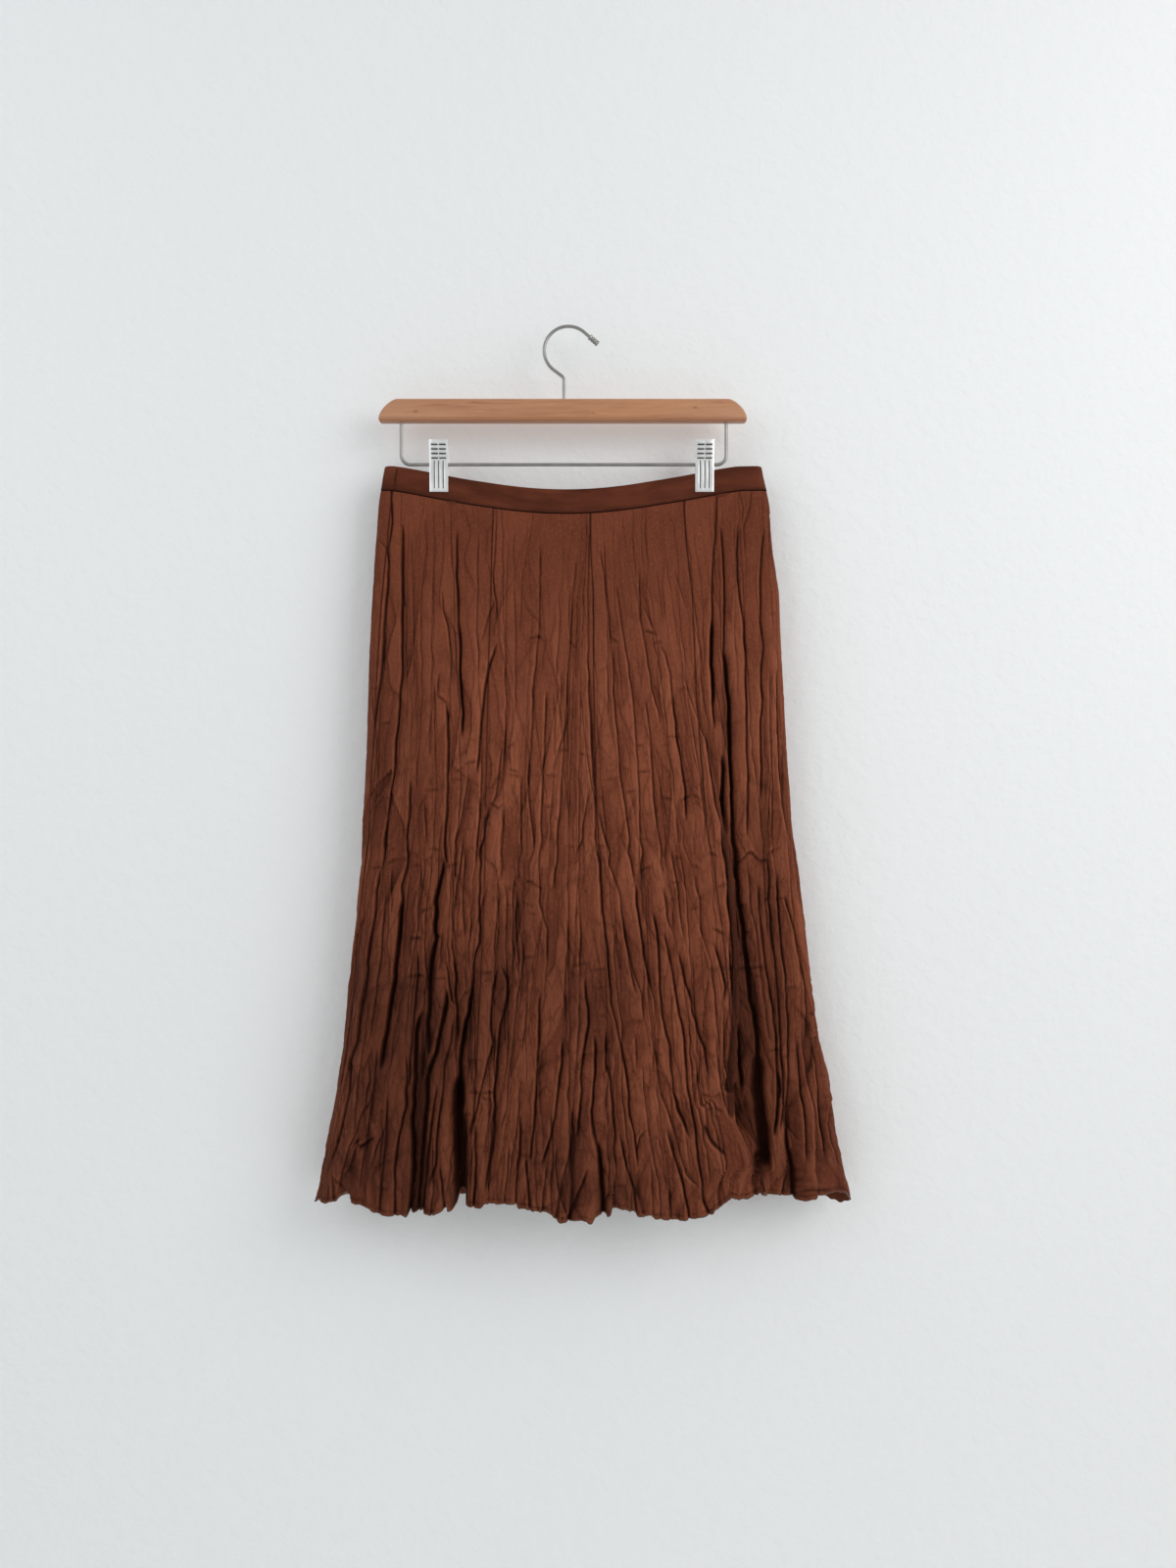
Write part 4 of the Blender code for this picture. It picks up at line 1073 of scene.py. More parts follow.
# The crinkle between the creases, as cells: width, length, how far they lean, depth of their edges
crinkles = table("wide tall lean edge fade", (44.0, 170.0, 2.6, 0.2, 0.6), (17.0, 90.0, 2.4, 0.5, 1.0),
                 (8.0, 36.0, 1.0, 0.3, 2.0), (4.8, 15.0, 0.5, 0.15, 2.5))


def pressCrinkles(half):
    seed = 90 if half.mirrored else 60
    across, down = half.flow, -half.z
    for number, crinkle in enumerate(crinkles):
        bend = 0.35 * crinkle["wide"]
        bent = across + bend * roughField(across, down, 3.0 * crinkle["wide"], 1.2, seed + number)
        bent = bent + 0.3 * bend * roughField(across, down, crinkle["wide"], 1.0, seed + 9 + number)
        gap, plane = cells(bent, down, crinkle["wide"], crinkle["tall"], seed + 20 + number)
        line = np.exp(-(gap / (1.5 / crinkle["wide"])) ** 2)
        grow = half.grow ** crinkle["fade"]
        half.depth += grow * (crinkle["lean"] * plane + crinkle["edge"] * line)
        # the crinkle edges' mark is painted shade
        half.slots = np.maximum(half.slots, 0.5 * crinkle["edge"] * grow * line)
    half.depth += 0.7 * half.grow * roughField(across, down, 16.0, 1.8, seed + 3)


def evenOut(half, reach, share):
    # takes the slow rise and fall along each row out, so that folds stand about one level
    spacing = half.run.mean() * (half.around[-1] - half.around[0]) / len(half.around)
    count = int(reach / spacing)
    padded = np.pad(half.depth, ((0, 0), (count, count)), mode="edge")
    sums = np.cumsum(np.pad(padded, ((0, 0), (1, 0))), axis=1)
    mean = (sums[:, 2 * count + 1:] - sums[:, :-2 * count - 1]) / (2 * count + 1)
    half.depth -= share * mean


def foldHalf(around, z, mirrored):
    half = Half(around, z, mirrored)
    pressMainCreases(half)
    pressSmallCreases(half)
    pressCrinkles(half)
    evenOut(half, 22.0, 0.85)
    pressKinks(half)
    half.relief = half.depth.copy()
    pressFlutes(half)
    return half


def seamGroove(around, run):
    # the gores' seams as a narrow groove
    groove = np.zeros_like(run)
    for gore in gores:
        for turns in (-1.0, 0.0, 1.0):
            gap = (around[None, :] - gore["start"] - turns) * run
            groove = np.maximum(groove, np.exp(-(gap / 0.8) ** 2))
    return groove


def columnPlaces():              # where the grid's columns stand, so many for each gore
    places = []
    for gore in gores:
        places.append(np.linspace(gore["start"], gore["end"], gore["columns"] + 1)[:-1])
    return np.concatenate(places + [[gores[-1]["end"]]])


def deepestNear(depth, rows, columns):       # the deepest of each point's neighbours
    deepest = depth.copy()
    for reach, axis in ((rows, 0), (columns, 1)):
        spread = deepest.copy()
        for step in range(1, reach + 1):
            either = np.maximum(np.roll(deepest, step, axis), np.roll(deepest, -step, axis))
            spread = np.maximum(spread, either)
        deepest = spread
    return deepest


def clothGrid():
    around = columnPlaces()
    top = seamZ(around) - skirt["bandGap"]
    hemRows = skirt["hemRows"]
    down = np.concatenate([np.linspace(0.0, 0.98, skirt["rows"] - hemRows + 1)[:-1],
                           np.linspace(0.98, 1.0, hemRows + 1)])[:, None]
    z = top + (hemHeight(around) - top) * down
    x, y = ringPoint(around, z)
    inX, inY = inwardAt(around, z)
    run = 2.0 * halfLength(around[None, :], z)
    depth, slots, flow, tone, relief, rims = (np.zeros_like(z) for number in range(6))
    edge = 0.012                     # the front's folds pass into the back's over the side edges
    for mirrored, centre in ((False, 0.25), (True, 0.75)):
        turned = (around - centre + 0.5) % 1.0 - 0.5
        inside = np.abs(turned) <= 0.25 + edge
        columns = np.flatnonzero(inside)[np.argsort(turned[inside])]
        # past the side edges the places stand still, but for a tiny rise that keeps them in order
        span = np.clip(turned[columns], -0.25, 0.25) + centre + 1e-7 * np.arange(len(columns))
        half = foldHalf(span, z[:, columns], mirrored)
        weight = 1.0 - ease(np.abs(turned[columns]), 0.25 - edge, 0.25 + edge)
        depth[:, columns] += half.depth * weight
        relief[:, columns] += half.relief * weight
        # the slots', tones' and rims' marks carry painted shade and painted highlights
        slots[:, columns] = np.maximum(slots[:, columns], half.slots * weight)
        tone[:, columns] += half.tone * weight
        rims[:, columns] = np.maximum(rims[:, columns], half.rims * (1.0 - half.slots) * weight)
        flow[:, columns] = np.where(weight > 0.5, half.flow + 1000.0 * mirrored, flow[:, columns])
    groove = seamGroove(around, run)
    depth = depth * (1.0 - 0.5 * groove) + 0.5 * groove
    room = 0.9 + 0.82 * np.abs(y)    # a fold stops short of the skirt's middle
    depth = np.where(depth > 0.0, room * np.tanh(depth / room), depth)
    depth = depth * (0.12 + 0.88 * ease(down, 0.0, 0.03))        # nearly flat at the waist seam
    inner = deepestNear(depth, 4, 3) + skirt["thickness"]
    return {"around": around, "x": x + inX * depth, "y": y + inY * depth, "z": z, "run": run, "flow": flow,
            "innerX": x + inX * inner, "innerY": y + inY * inner, "down": down + 0 * z,
            "relief": relief, "rims": rims, "slots": slots, "groove": groove, "tone": tone}


def meshObject(name, points, loops, sizes, uvs, marks):
    # a mesh from arrays: corner points of the faces one after another, and how many each face has
    mesh = bpy.data.meshes.new(name)
    mesh.vertices.add(len(points))
    mesh.vertices.foreach_set("co", points.reshape(-1).astype(np.float32))
    mesh.loops.add(len(loops))
    mesh.loops.foreach_set("vertex_index", loops.astype(np.int32))
    mesh.polygons.add(len(sizes))
    starts = np.concatenate([[0], np.cumsum(sizes)[:-1]])
    mesh.polygons.foreach_set("loop_start", starts.astype(np.int32))
    mesh.update(calc_edges=True)
    mesh.polygons.foreach_set("use_smooth", np.ones(len(sizes), dtype=bool))
    for layer, values in uvs.items():
        flat = values.reshape(-1, 2)[loops]
        mesh.uv_layers.new(name=layer).data.foreach_set("uv", flat.reshape(-1).astype(np.float32))
    for mark, values in marks.items():
        attribute = mesh.attributes.new(mark, "FLOAT", "POINT")
        attribute.data.foreach_set("value", values.reshape(-1).astype(np.float32))
    mesh.validate()
    made = bpy.data.objects.new(name, mesh)
    bpy.context.scene.collection.objects.link(made)
    return made


def quads(rows, columns, first=0):
    # the faces of a grid of points, and the numbers of its points
    index = np.arange(rows * columns).reshape(rows, columns) + first
    corners = [index[:-1, :-1], index[1:, :-1], index[1:, 1:], index[:-1, 1:]]
    return np.stack(corners, axis=-1).reshape(-1, 4), index


def gridObject(name, points, uvs, marks):
    faces, index = quads(*points.shape[:2])
    return meshObject(name, points.reshape(-1, 3), faces.reshape(-1), np.full(len(faces), 4), uvs, marks)


def shellObject(name, outer, inner, uvs, marks, rowStep=4, columnStep=2):
    # a closed thin shell: a fine outer sheet, a coarser inner one, and a rim round both
    inner = inner[::rowStep, ::columnStep]
    outerFaces, a = quads(*outer.shape[:2])
    innerFaces, b = quads(*inner.shape[:2], first=a.size)
    loops, sizes = [outerFaces.reshape(-1), innerFaces[:, ::-1].reshape(-1)], []
    sizes += [4] * (len(outerFaces) + len(innerFaces))
    rims = ((a[0], b[0], columnStep, 1), (a[-1], b[-1], columnStep, -1),
            (a[:, -1], b[:, -1], rowStep, 1), (a[:, 0], b[:, 0], rowStep, -1))
    for fine, coarse, step, turn in rims:
        for number in range(len(coarse) - 1):
            face = list(fine[number * step:(number + 1) * step + 1]) + [coarse[number + 1], coarse[number]]
            loops.append(np.array(face[::turn]))
            sizes.append(len(face))
    thin = (slice(None, None, rowStep), slice(None, None, columnStep))
    uvs = {k: np.concatenate([v.reshape(-1, 2), v[thin].reshape(-1, 2)]) for k, v in uvs.items()}
    marks = {k: np.concatenate([v.reshape(-1), 0.3 + 0 * v[thin].reshape(-1)]) for k, v in marks.items()}
    points = np.concatenate([outer.reshape(-1, 3), inner.reshape(-1, 3)])
    return meshObject(name, points, np.concatenate(loops), np.array(sizes), uvs, marks)


def roundPath(centres, radius, sides):
    # points of a tube round a path: rows of a ring each
    ahead = np.gradient(centres, axis=0)
    ahead /= np.linalg.norm(ahead, axis=1)[:, None]
    up = np.array([0.0, 0.0, 1.0])
    sideways = np.cross(ahead, up)
    sideways /= np.linalg.norm(sideways, axis=1)[:, None]
    above = np.cross(sideways, ahead)
    turns = np.linspace(0.0, 2 * math.pi, sides + 1)
    return (centres[:, None] + radius * (np.cos(turns)[None, :, None] * sideways[:, None]
                                         + np.sin(turns)[None, :, None] * above[:, None]))


# The hem's stitch line above the edge, and its overlocked thread
hemFinish = {"stitchAt": 3.8, "stitchWide": 0.8, "radius": 0.85, "round": 5.3, "inset": 0.35,
             "uneven": 0.25, "sides": 8}


def makeGore(gore, first, last, grid):
    # one gore's shell, with marks for its material: painted shade, crease lines of painted shade and
    # stitches, ridges lighter by wear and painted highlight, and how far down it is
    cut = slice(first, last + 1)
    outer = np.stack([grid[key][:, cut] for key in ("x", "y", "z")], axis=-1)
    inner = np.stack([grid[key][:, cut] for key in ("innerX", "innerY", "z")], axis=-1)
    for sheet in (outer, inner):                    # each gore ends just short of its seam
        for column, toward in ((0, 1), (-1, -2)):
            aside = sheet[:, toward] - sheet[:, column]
            gap = np.hypot(aside[:, 0], aside[:, 1])[:, None]
            sheet[:, column] += aside * skirt["seamGap"] / gap
    middle = (gore["start"] + gore["end"]) / 2
    across = (grid["around"][cut] - middle)[None, :] * grid["run"][:, cut] * mm
    drop = -(outer[..., 2] - outer[:1, :, 2]) * mm
    flow = grid["flow"][:, cut] * mm
    uvs = {"weave": np.stack([across, drop], axis=-1), "flow": np.stack([flow, drop], axis=-1)}
    relief, rims, slots, groove, down, tone = (
        grid[key][:, cut] for key in ("relief", "rims", "slots", "groove", "down", "tone"))
    above = grid["z"][:, cut] - grid["z"][-1:, cut]
    along = grid["around"][cut] * 1000.0 + 0 * above
    stitches = np.exp(-((above - hemFinish["stitchAt"]) / hemFinish["stitchWide"]) ** 2)
    stitches = (0.55 + 0.45 * roughField(along, 0 * along, 5.0, 1.0, 19)) * stitches
    # painted shade, and painted light where the tones are below 0
    darker, lighter = np.clip(tone, 0, 1), -np.clip(tone, -1, 0)
    # painted shade in the valleys of the folds
    valleys = np.clip(relief / 5.0, 0, 1) * ease(relief, 0.7, 3.2)
    # painted shade, darker towards the hem
    shadeTowardHem = 0.1 * ease(down, 0.5, 0.72) + 0.12 * ease(down, 0.86, 1.0)
    # ridges lighter as wear and as painted highlight, with the rims' painted highlights and painted light
    ridgeWearAndHighlight = np.clip(0.15 - relief / 3.0 + 0.95 * rims + lighter, 0, 1)
    marks = {
        "fold": np.clip(valleys + shadeTowardHem + darker * (0.55 + 0.45 * ease(relief, -1.5, 2.0)), 0, 1),
        # painted shade in crease slots and seam grooves, and the stitch line's own colour
        "line": np.clip(slots + (0.95 - 0.5 * down) * groove + stitches, 0, 1),
        "crest": ridgeWearAndHighlight * ease(down, 0.0, 0.3) * (1.0 - 0.8 * darker),
        "worn": ease(down, 0.0, 0.55),
    }
    piece = shellObject("skirt_" + gore["name"], outer * mm, inner * mm, uvs, marks)
    piece.data.materials.append(clothMaterial)
    return piece


def makeHem(gore, first, last, grid):
    # overlocked edge under the gore, slightly uneven
    cut = slice(first, last + 1)
    centres = np.stack([grid[key][-1, cut] for key in ("x", "y", "z")], axis=-1)
    inward = np.stack([-np.gradient(centres[:, 1]), np.gradient(centres[:, 0]), 0 * centres[:, 0]], axis=-1)
    inward /= np.linalg.norm(inward, axis=1)[:, None]
    centres = centres + inward * hemFinish["inset"]
    along = np.concatenate([[0.0], np.cumsum(np.linalg.norm(np.diff(centres, axis=0), axis=1))])
    uneven = 1.0 + hemFinish["uneven"] * roughField(along, 0 * along + 40 * gore["start"], 3.0, 1.0, 41)
    points = roundPath(centres, hemFinish["radius"], hemFinish["sides"])
    points = centres[:, None] + (points - centres[:, None]) * uneven[:, None, None]
    turns = np.linspace(0.0, hemFinish["round"], points.shape[1])
    weave = np.stack(np.broadcast_arrays(along[:, None], turns[None, :]), axis=-1) * mm
    piece = gridObject("hem_" + gore["name"].split("_", 1)[1], points * mm, {"weave": weave}, {})
    piece.data.materials.append(hemMaterial)
    return piece


def finishCloth(piece, node):          # attaches a piece of cloth to the root and hides the node it stands in for
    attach(piece, "root")
    if node:
        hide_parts(node)


def makeSkirt():
    grid = clothGrid()
    first = 0
    for gore in gores:
        last = first + gore["columns"]
        piece = makeGore(gore, first, last, grid)
        hem = makeHem(gore, first, last, grid)
        finishCloth(piece, gore["name"])
        finishCloth(hem, None)
        side, share = gore["name"].split("_")[1], gore["end"] - gore["start"]
        length = float(np.mean(-(grid["z"][-1] - grid["z"][0]))) * mm
        waistWidth = float(grid["run"][0, first] * share) * mm * skirt["waistTake"]
        hemWidth = float(grid["run"][-1, first] * share) * mm * skirt["hemTake"]
        "waistband_" + side
        first = last


makeSkirt()
print("skirt made")


# The waistband's columns, how uneven it is, and how far each half ends before its seam, in columns
band = {"columns": 230, "ripples": 0.35, "puckers": 0.35, "endGap": 0.06}
bands = table("name start end", ("waistband_front", 0.0203, 0.5215), ("waistband_back", 0.5215, 1.0203))

# A stitched tuck and the side seam at the front's left end: place across, depth, width
bandTucks = table("x deep wide", (-172.0, 0.9, 1.0), (-166.5, 0.7, 0.6))

# One turn round the band's wall: how far inwards, and how high above its seam
bandWall = ((0.75, 0.0), (0.25, 0.5), (0.0, 1.4), (0.0, 4.0), (0.0, 9.0), (0.0, 15.0), (0.0, 20.0),
            (0.05, 22.6), (0.35, 23.6), (1.0, 24.0), (1.65, 23.6), (2.0, 22.6), (2.0, 12.0), (2.0, 1.4),
            (1.7, 0.3), (0.75, 0.0))


def makeBand(row):
    around = np.linspace(row["start"], row["end"], band["columns"] + 1)
    rise = np.array([height for inwards, height in bandWall])[:, None]
    wall = np.array([inwards for inwards, height in bandWall])[:, None]
    z = seamZ(around)[None, :] + skirt["bandGap"] + rise
    x, y = ringPoint(around, z)
    inX, inY = inwardAt(around, z)
    run = 2.0 * halfLength(around[None, :], z)
    along = around[None, :] * run
    outer = wall < 1.0
    ripples = band["ripples"] * roughField(along, rise + 0 * z, 26.0, 0.6, 51)
    ripples += band["puckers"] * roughField(along, rise + 0 * z, 5.0, 3.0, 52) * (1.0 - ease(rise, 0.0, 9.0))
    tuck = np.zeros_like(z)
    if row["name"] == "waistband_front":
        for line in bandTucks:
            tuck += line["deep"] * np.exp(-((x - line["x"]) / line["wide"]) ** 2) * outer * (y < 0)
    depth = wall + np.where(outer, ripples + tuck, 0.5 * ripples)
    points = np.stack([x + inX * depth, y + inY * depth, z], axis=-1)
    points[:, 0] += (points[:, 1] - points[:, 0]) * band["endGap"]
    points[:, -1] += (points[:, -2] - points[:, -1]) * band["endGap"]
    weave = np.stack(np.broadcast_arrays(along, rise + wall * 3.0), axis=-1) * mm
    # painted shade along the band's lower edge and in its tucks
    fold = np.clip((1.0 - ease(rise, 0.4, 2.0)) * outer + 0.9 * tuck, 0, 1)
    piece = gridObject("cloth_" + row["name"], points[::-1] * mm, {"weave": weave[::-1]},
                       {"fold": fold[::-1]})
    closeEnds(piece)
    piece.data.materials.append(bandMaterial)
    finishCloth(piece, row["name"])
    length = float(run[0].mean() * (row["end"] - row["start"])) * mm


def closeEnds(piece):            # joins a tube's first and last rows and fills its ends
    shape = bmesh.new()
    shape.from_mesh(piece.data)
    bmesh.ops.remove_doubles(shape, verts=shape.verts, dist=0.00001)
    edges = [e for e in shape.edges if e.is_boundary]
    bmesh.ops.holes_fill(shape, edges=edges)
    bmesh.ops.recalc_face_normals(shape, faces=shape.faces)
    shape.to_mesh(piece.data)
    shape.free()


for row in bands:
    makeBand(row)
print("waistband made")


def deselect():
    if bpy.context.object and bpy.context.object.mode != "OBJECT":
        bpy.ops.object.mode_set(mode="OBJECT")
    bpy.ops.object.select_all(action="DESELECT")


def choose(piece):               # selects one object alone, in object mode
    deselect()
    piece.select_set(True)
    bpy.context.view_layer.objects.active = piece


def applyModifier(piece, kind, **settings):
    choose(piece)
    modifier = piece.modifiers.new("finish", kind)
    for name, value in settings.items():
        setattr(modifier, name, value)
    bpy.ops.object.modifier_apply(modifier=modifier.name)


def startEdit(piece):
    choose(piece)
    bpy.ops.object.mode_set(mode="EDIT")
    bpy.ops.mesh.select_all(action="DESELECT")


def pick(kind, test):
    # selects the verts, edges or faces of the piece in edit mode that pass the test, in mm
    bpy.ops.mesh.select_mode(type={"verts": "VERT", "edges": "EDGE", "faces": "FACE"}[kind])
    mesh = bpy.context.object.data
    shape = bmesh.from_edit_mesh(mesh)
    for part in getattr(shape, kind):
        part.select_set(bool(test(part)))
    shape.select_flush_mode()
    bmesh.update_edit_mesh(mesh)


def span(part):                  # lowest and highest corner of an edge or face, in mm
    corners = np.array([v.co[:] for v in part.verts]) / mm
    return corners.min(axis=0), corners.max(axis=0)


def extrude(x=0.0, y=0.0, z=0.0):
    bpy.ops.mesh.extrude_region_move(TRANSFORM_OT_translate={"value": (x * mm, y * mm, z * mm)})


def spin(degrees, centre, steps):
    centre = (centre[0] * mm, 0.0, centre[1] * mm)
    bpy.ops.mesh.spin(steps=steps, angle=math.radians(degrees), center=centre, axis=(0, 1, 0))


def endPiece(piece, name, material, nodes):
    # cleans and names a finished piece, attaches it to the root and hides the nodes it stands in for
    choose(piece)
    bpy.ops.object.transform_apply(location=True, rotation=True, scale=True)
    bpy.ops.object.mode_set(mode="EDIT")
    bpy.ops.mesh.select_all(action="SELECT")
    bpy.ops.mesh.remove_doubles(threshold=0.00001)
    bpy.ops.mesh.normals_make_consistent(inside=False)
    bpy.ops.object.mode_set(mode="OBJECT")
    bpy.ops.object.shade_smooth_by_angle(angle=math.radians(35.0))
    piece.name = name
    piece.data.name = name
    if not piece.data.materials:
        piece.data.materials.append(material)
    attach(piece, "root")
    if nodes:
        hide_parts(*nodes)


def box(centre, size):
    # a cube at its size and place, in mm
    deselect()
    bpy.ops.mesh.primitive_cube_add(size=1.0, location=[c * mm for c in centre])
    made = bpy.context.active_object
    made.scale = [s * mm for s in size]
    bpy.ops.object.transform_apply(location=True, rotation=True, scale=True)
    return made


# The bar's bevels: its upper ends, its lower ends, and along its edges
bar = {"upperEnd": 18.0, "lowerEnd": 2.5, "edge": 2.6}


def makeBar():
    low, high = nodeBox("hanger_bar")
    centre = [(a + b) / 2 for a, b in zip(low, high)]
    piece = box(centre, [b - a for a, b in zip(low, high)])
    startEdit(piece)
    pick("edges", lambda e: span(e)[0][2] > high[2] - 0.1 and span(e)[1][0] - span(e)[0][0] < 0.1)
    bpy.ops.mesh.bevel(offset=bar["upperEnd"] * mm, segments=10, profile=0.4, affect="EDGES")
    pick("edges", lambda e: span(e)[1][2] < low[2] + 0.1 and span(e)[1][0] - span(e)[0][0] < 0.1)
    bpy.ops.mesh.bevel(offset=bar["lowerEnd"] * mm, segments=3, affect="EDGES")
    pick("edges", lambda e: span(e)[1][1] - span(e)[0][1] < 0.1)
    bpy.ops.mesh.bevel(offset=bar["edge"] * mm, segments=4, affect="EDGES")
    endPiece(piece, "bar", woodMaterial, ["hanger_bar"])


# The hook: its wire, big bend, straight neck, the small bend above the bar, and the cap on its end
hook = {"wire": 3.2, "radius": 23.5, "tipAngle": 49.0, "heelAngle": 233.0, "neck": 9.3, "neckBend": 6.2,
        "lead": 7.0, "capWidth": 6.0, "capLength": 10.5, "capRing": 0.72, "capEdge": 0.7, "sides": 20}


def wireEnd(centre):
    # an open ring of wire, lying flat, ready to be drawn along
    deselect()
    bpy.ops.mesh.primitive_circle_add(vertices=hook["sides"], radius=hook["wire"] / 2 * mm,
                                      location=(centre[0] * mm, 0.0, centre[1] * mm))
    piece = bpy.context.active_object
    bpy.ops.object.transform_apply(location=True, rotation=True, scale=True)
    startEdit(piece)
    bpy.ops.mesh.select_all(action="SELECT")
    return piece


def hookPlan():
    # the big bend's centre, the way the neck runs, and the small bend's centre
    centre = (0.0, hook["wire"] / 2 - hook["radius"])
    heel = math.radians(hook["heelAngle"])
    run = (-math.sin(heel), math.cos(heel))
    heelPoint = (centre[0] + hook["radius"] * math.cos(heel), centre[1] + hook["radius"] * math.sin(heel))
    neck = (heelPoint[0] + run[0] * hook["neck"], heelPoint[1] + run[1] * hook["neck"])
    bend = (neck[0] + run[1] * hook["neckBend"], neck[1] - run[0] * hook["neckBend"])
    return centre, run, bend


def makeHook():
    centre, run, bend = hookPlan()
    barTop = nodeBox("hanger_bar")[1][2]
    stem = bend[0] + hook["neckBend"]
    piece = wireEnd((stem, barTop - 1.0))
    extrude(z=bend[1] - barTop + 1.0)
    spin(hook["heelAngle"] - 180.0, bend, 8)
    extrude(x=-run[0] * hook["neck"], z=-run[1] * hook["neck"])
    spin(hook["tipAngle"] - hook["heelAngle"], centre, 48)
    tip = math.radians(hook["tipAngle"])
    lead = (math.sin(tip), -math.cos(tip))
    extrude(x=lead[0] * hook["lead"], z=lead[1] * hook["lead"])
    bpy.ops.mesh.edge_face_add()
    endPiece(piece, "hook", nickelMaterial, ["hanger_hook"])
    return lead


def makeHookCap(lead):
    # the ridged cap on the hook's end, turned to the wire's direction
    low, high = nodeBox("hook_tip")
    centre = [(a + b) / 2 * mm for a, b in zip(low, high)]
    deselect()
    bpy.ops.mesh.primitive_cylinder_add(vertices=24, radius=hook["capWidth"] / 2 * mm,
                                        depth=hook["capLength"] * mm)
    piece = bpy.context.active_object
    startEdit(piece)
    half = hook["capLength"] / 2
    for number in range(1, 8):
        bpy.ops.mesh.select_all(action="SELECT")
        level = (-half + hook["capLength"] * number / 8) * mm
        bpy.ops.mesh.bisect(plane_co=(0, 0, level), plane_no=(0, 0, 1))
    for number in range(2, 7, 2):
        level = -half + hook["capLength"] * number / 8
        pick("verts", lambda v: abs(v.co.z / mm - level) < 0.1)
        bpy.ops.transform.resize(value=(hook["capRing"], hook["capRing"], 1.0))
    pick("edges", lambda e: abs(span(e)[0][2]) > half - 0.1 and abs(span(e)[1][2]) > half - 0.1)
    bpy.ops.mesh.bevel(offset=hook["capEdge"] * mm, segments=3, affect="EDGES")
    bpy.ops.object.mode_set(mode="OBJECT")
    piece.rotation_euler = (0.0, math.atan2(lead[0], lead[1]), 0.0)
    piece.location = centre
    endPiece(piece, "hook_cap", nickelMaterial, ["hook_tip"])


# The U of wire under the bar: the radius of its bends, and how far its ends go into the bar
rod = {"bend": 9.0, "intoBar": 1.5}


def makeRod():
    low, high = nodeBox("hanger_rod")
    half, bend = hook["wire"] / 2, rod["bend"]
    left, right, level = low[0] + half, high[0] - half, low[2] + half
    top = high[2] + rod["intoBar"]
    piece = wireEnd((left, top))
    extrude(z=level + bend - top)
    spin(90.0, (left + bend, level + bend), 10)
    extrude(x=right - left - 2 * bend)
    spin(90.0, (right - bend, level + bend), 10)
    extrude(z=top - level - bend)
    endPiece(piece, "rod", nickelMaterial, ["hanger_rod"])


makeBar()
makeHookCap(makeHook())
makeRod()
print("hanger made")

# A clip's plate, the grooves down its jaw, and the pads and the dark slots of painted shade under them on its
# handle
clip = {"grooves": 3, "grooveWidth": 1.15, "grooveDepth": 0.55, "grooveTop": -129.5,
        "grooveLow": -156.3, "top": -110.2, "columns": 2, "rows": 4, "padWidth": 6.0, "padTall": 2.3,
        "padThick": 1.0, "padTop": -112.0, "padStep": 4.1, "padGap": 1.7, "slot": 1.5, "slotThick": 0.4,
        "slotOver": 0.6, "edge": 0.22}

# The plate's height at each bend, and how far it lies from the middle there
plateProfile = ((-159.6, 2.6), (-147.6, 2.6), (-137.5, 3.5), (-127.5, 3.5), (-107.3, 8.5))


def makePlate(node, facing):
    # a pressed plate: a thin upright box, cut across at its bends and grooves, then bent to its profile
    low, high = nodeBox(node)
    wide, tall = high[0] - low[0], clip["top"] - low[2]
    x = (low[0] + high[0]) / 2
    piece = box((x, 0.0, (low[2] + clip["top"]) / 2), (wide, 1.0, tall))
    piece.data.materials.append(clipMaterial)
    piece.data.materials.append(grooveShadeMaterial)
    startEdit(piece)
    for level in [z for z, inside in plateProfile[1:-1]] + [clip["grooveTop"], clip["grooveLow"]]:
        bpy.ops.mesh.select_all(action="SELECT")
        bpy.ops.mesh.bisect(plane_co=(0, 0, level * mm), plane_no=(0, 0, 1))
    pitch = (wide - 1.0) / (clip["grooves"] + 1)
    centres = [x + pitch * (number - (clip["grooves"] - 1) / 2) for number in range(clip["grooves"])]
    for centre in centres:
        for side in (-0.5, 0.5):
            bpy.ops.mesh.select_all(action="SELECT")
            place = (centre + side * clip["grooveWidth"]) * mm
            bpy.ops.mesh.bisect(plane_co=(place, 0, 0), plane_no=(1, 0, 0))
    outer = facing * 0.5

    def inGroove(face):
        start, end = span(face)
        middle = (start[0] + end[0]) / 2
        flat = abs(start[1] - outer) < 0.1 and abs(end[1] - outer) < 0.1
        tallEnough = start[2] > clip["grooveLow"] - 0.1 and end[2] < clip["grooveTop"] + 0.1
        return flat and tallEnough and any(abs(middle - c) < clip["grooveWidth"] * 0.4 for c in centres)

    pick("faces", inGroove)
    extrude(y=-facing * clip["grooveDepth"])
    # the grooves' faces get the dark steel, as painted shade
    piece.active_material_index = 1
    bpy.ops.object.material_slot_assign()
    mesh = piece.data
    shape = bmesh.from_edit_mesh(mesh)
    for vert in shape.verts:
        inside = np.interp(vert.co.z / mm, [z for z, gap in plateProfile], [gap for z, gap in plateProfile])
        vert.co.y += facing * (inside + 0.5) * mm
    bmesh.update_edit_mesh(mesh)
    bpy.ops.object.mode_set(mode="OBJECT")
    applyModifier(piece, "BEVEL", width=clip["edge"] * mm, segments=2, limit_method="ANGLE",
                  angle_limit=math.radians(40.0))
    endPiece(piece, node.replace("clip", "plate"), clipMaterial, [node])
    return x


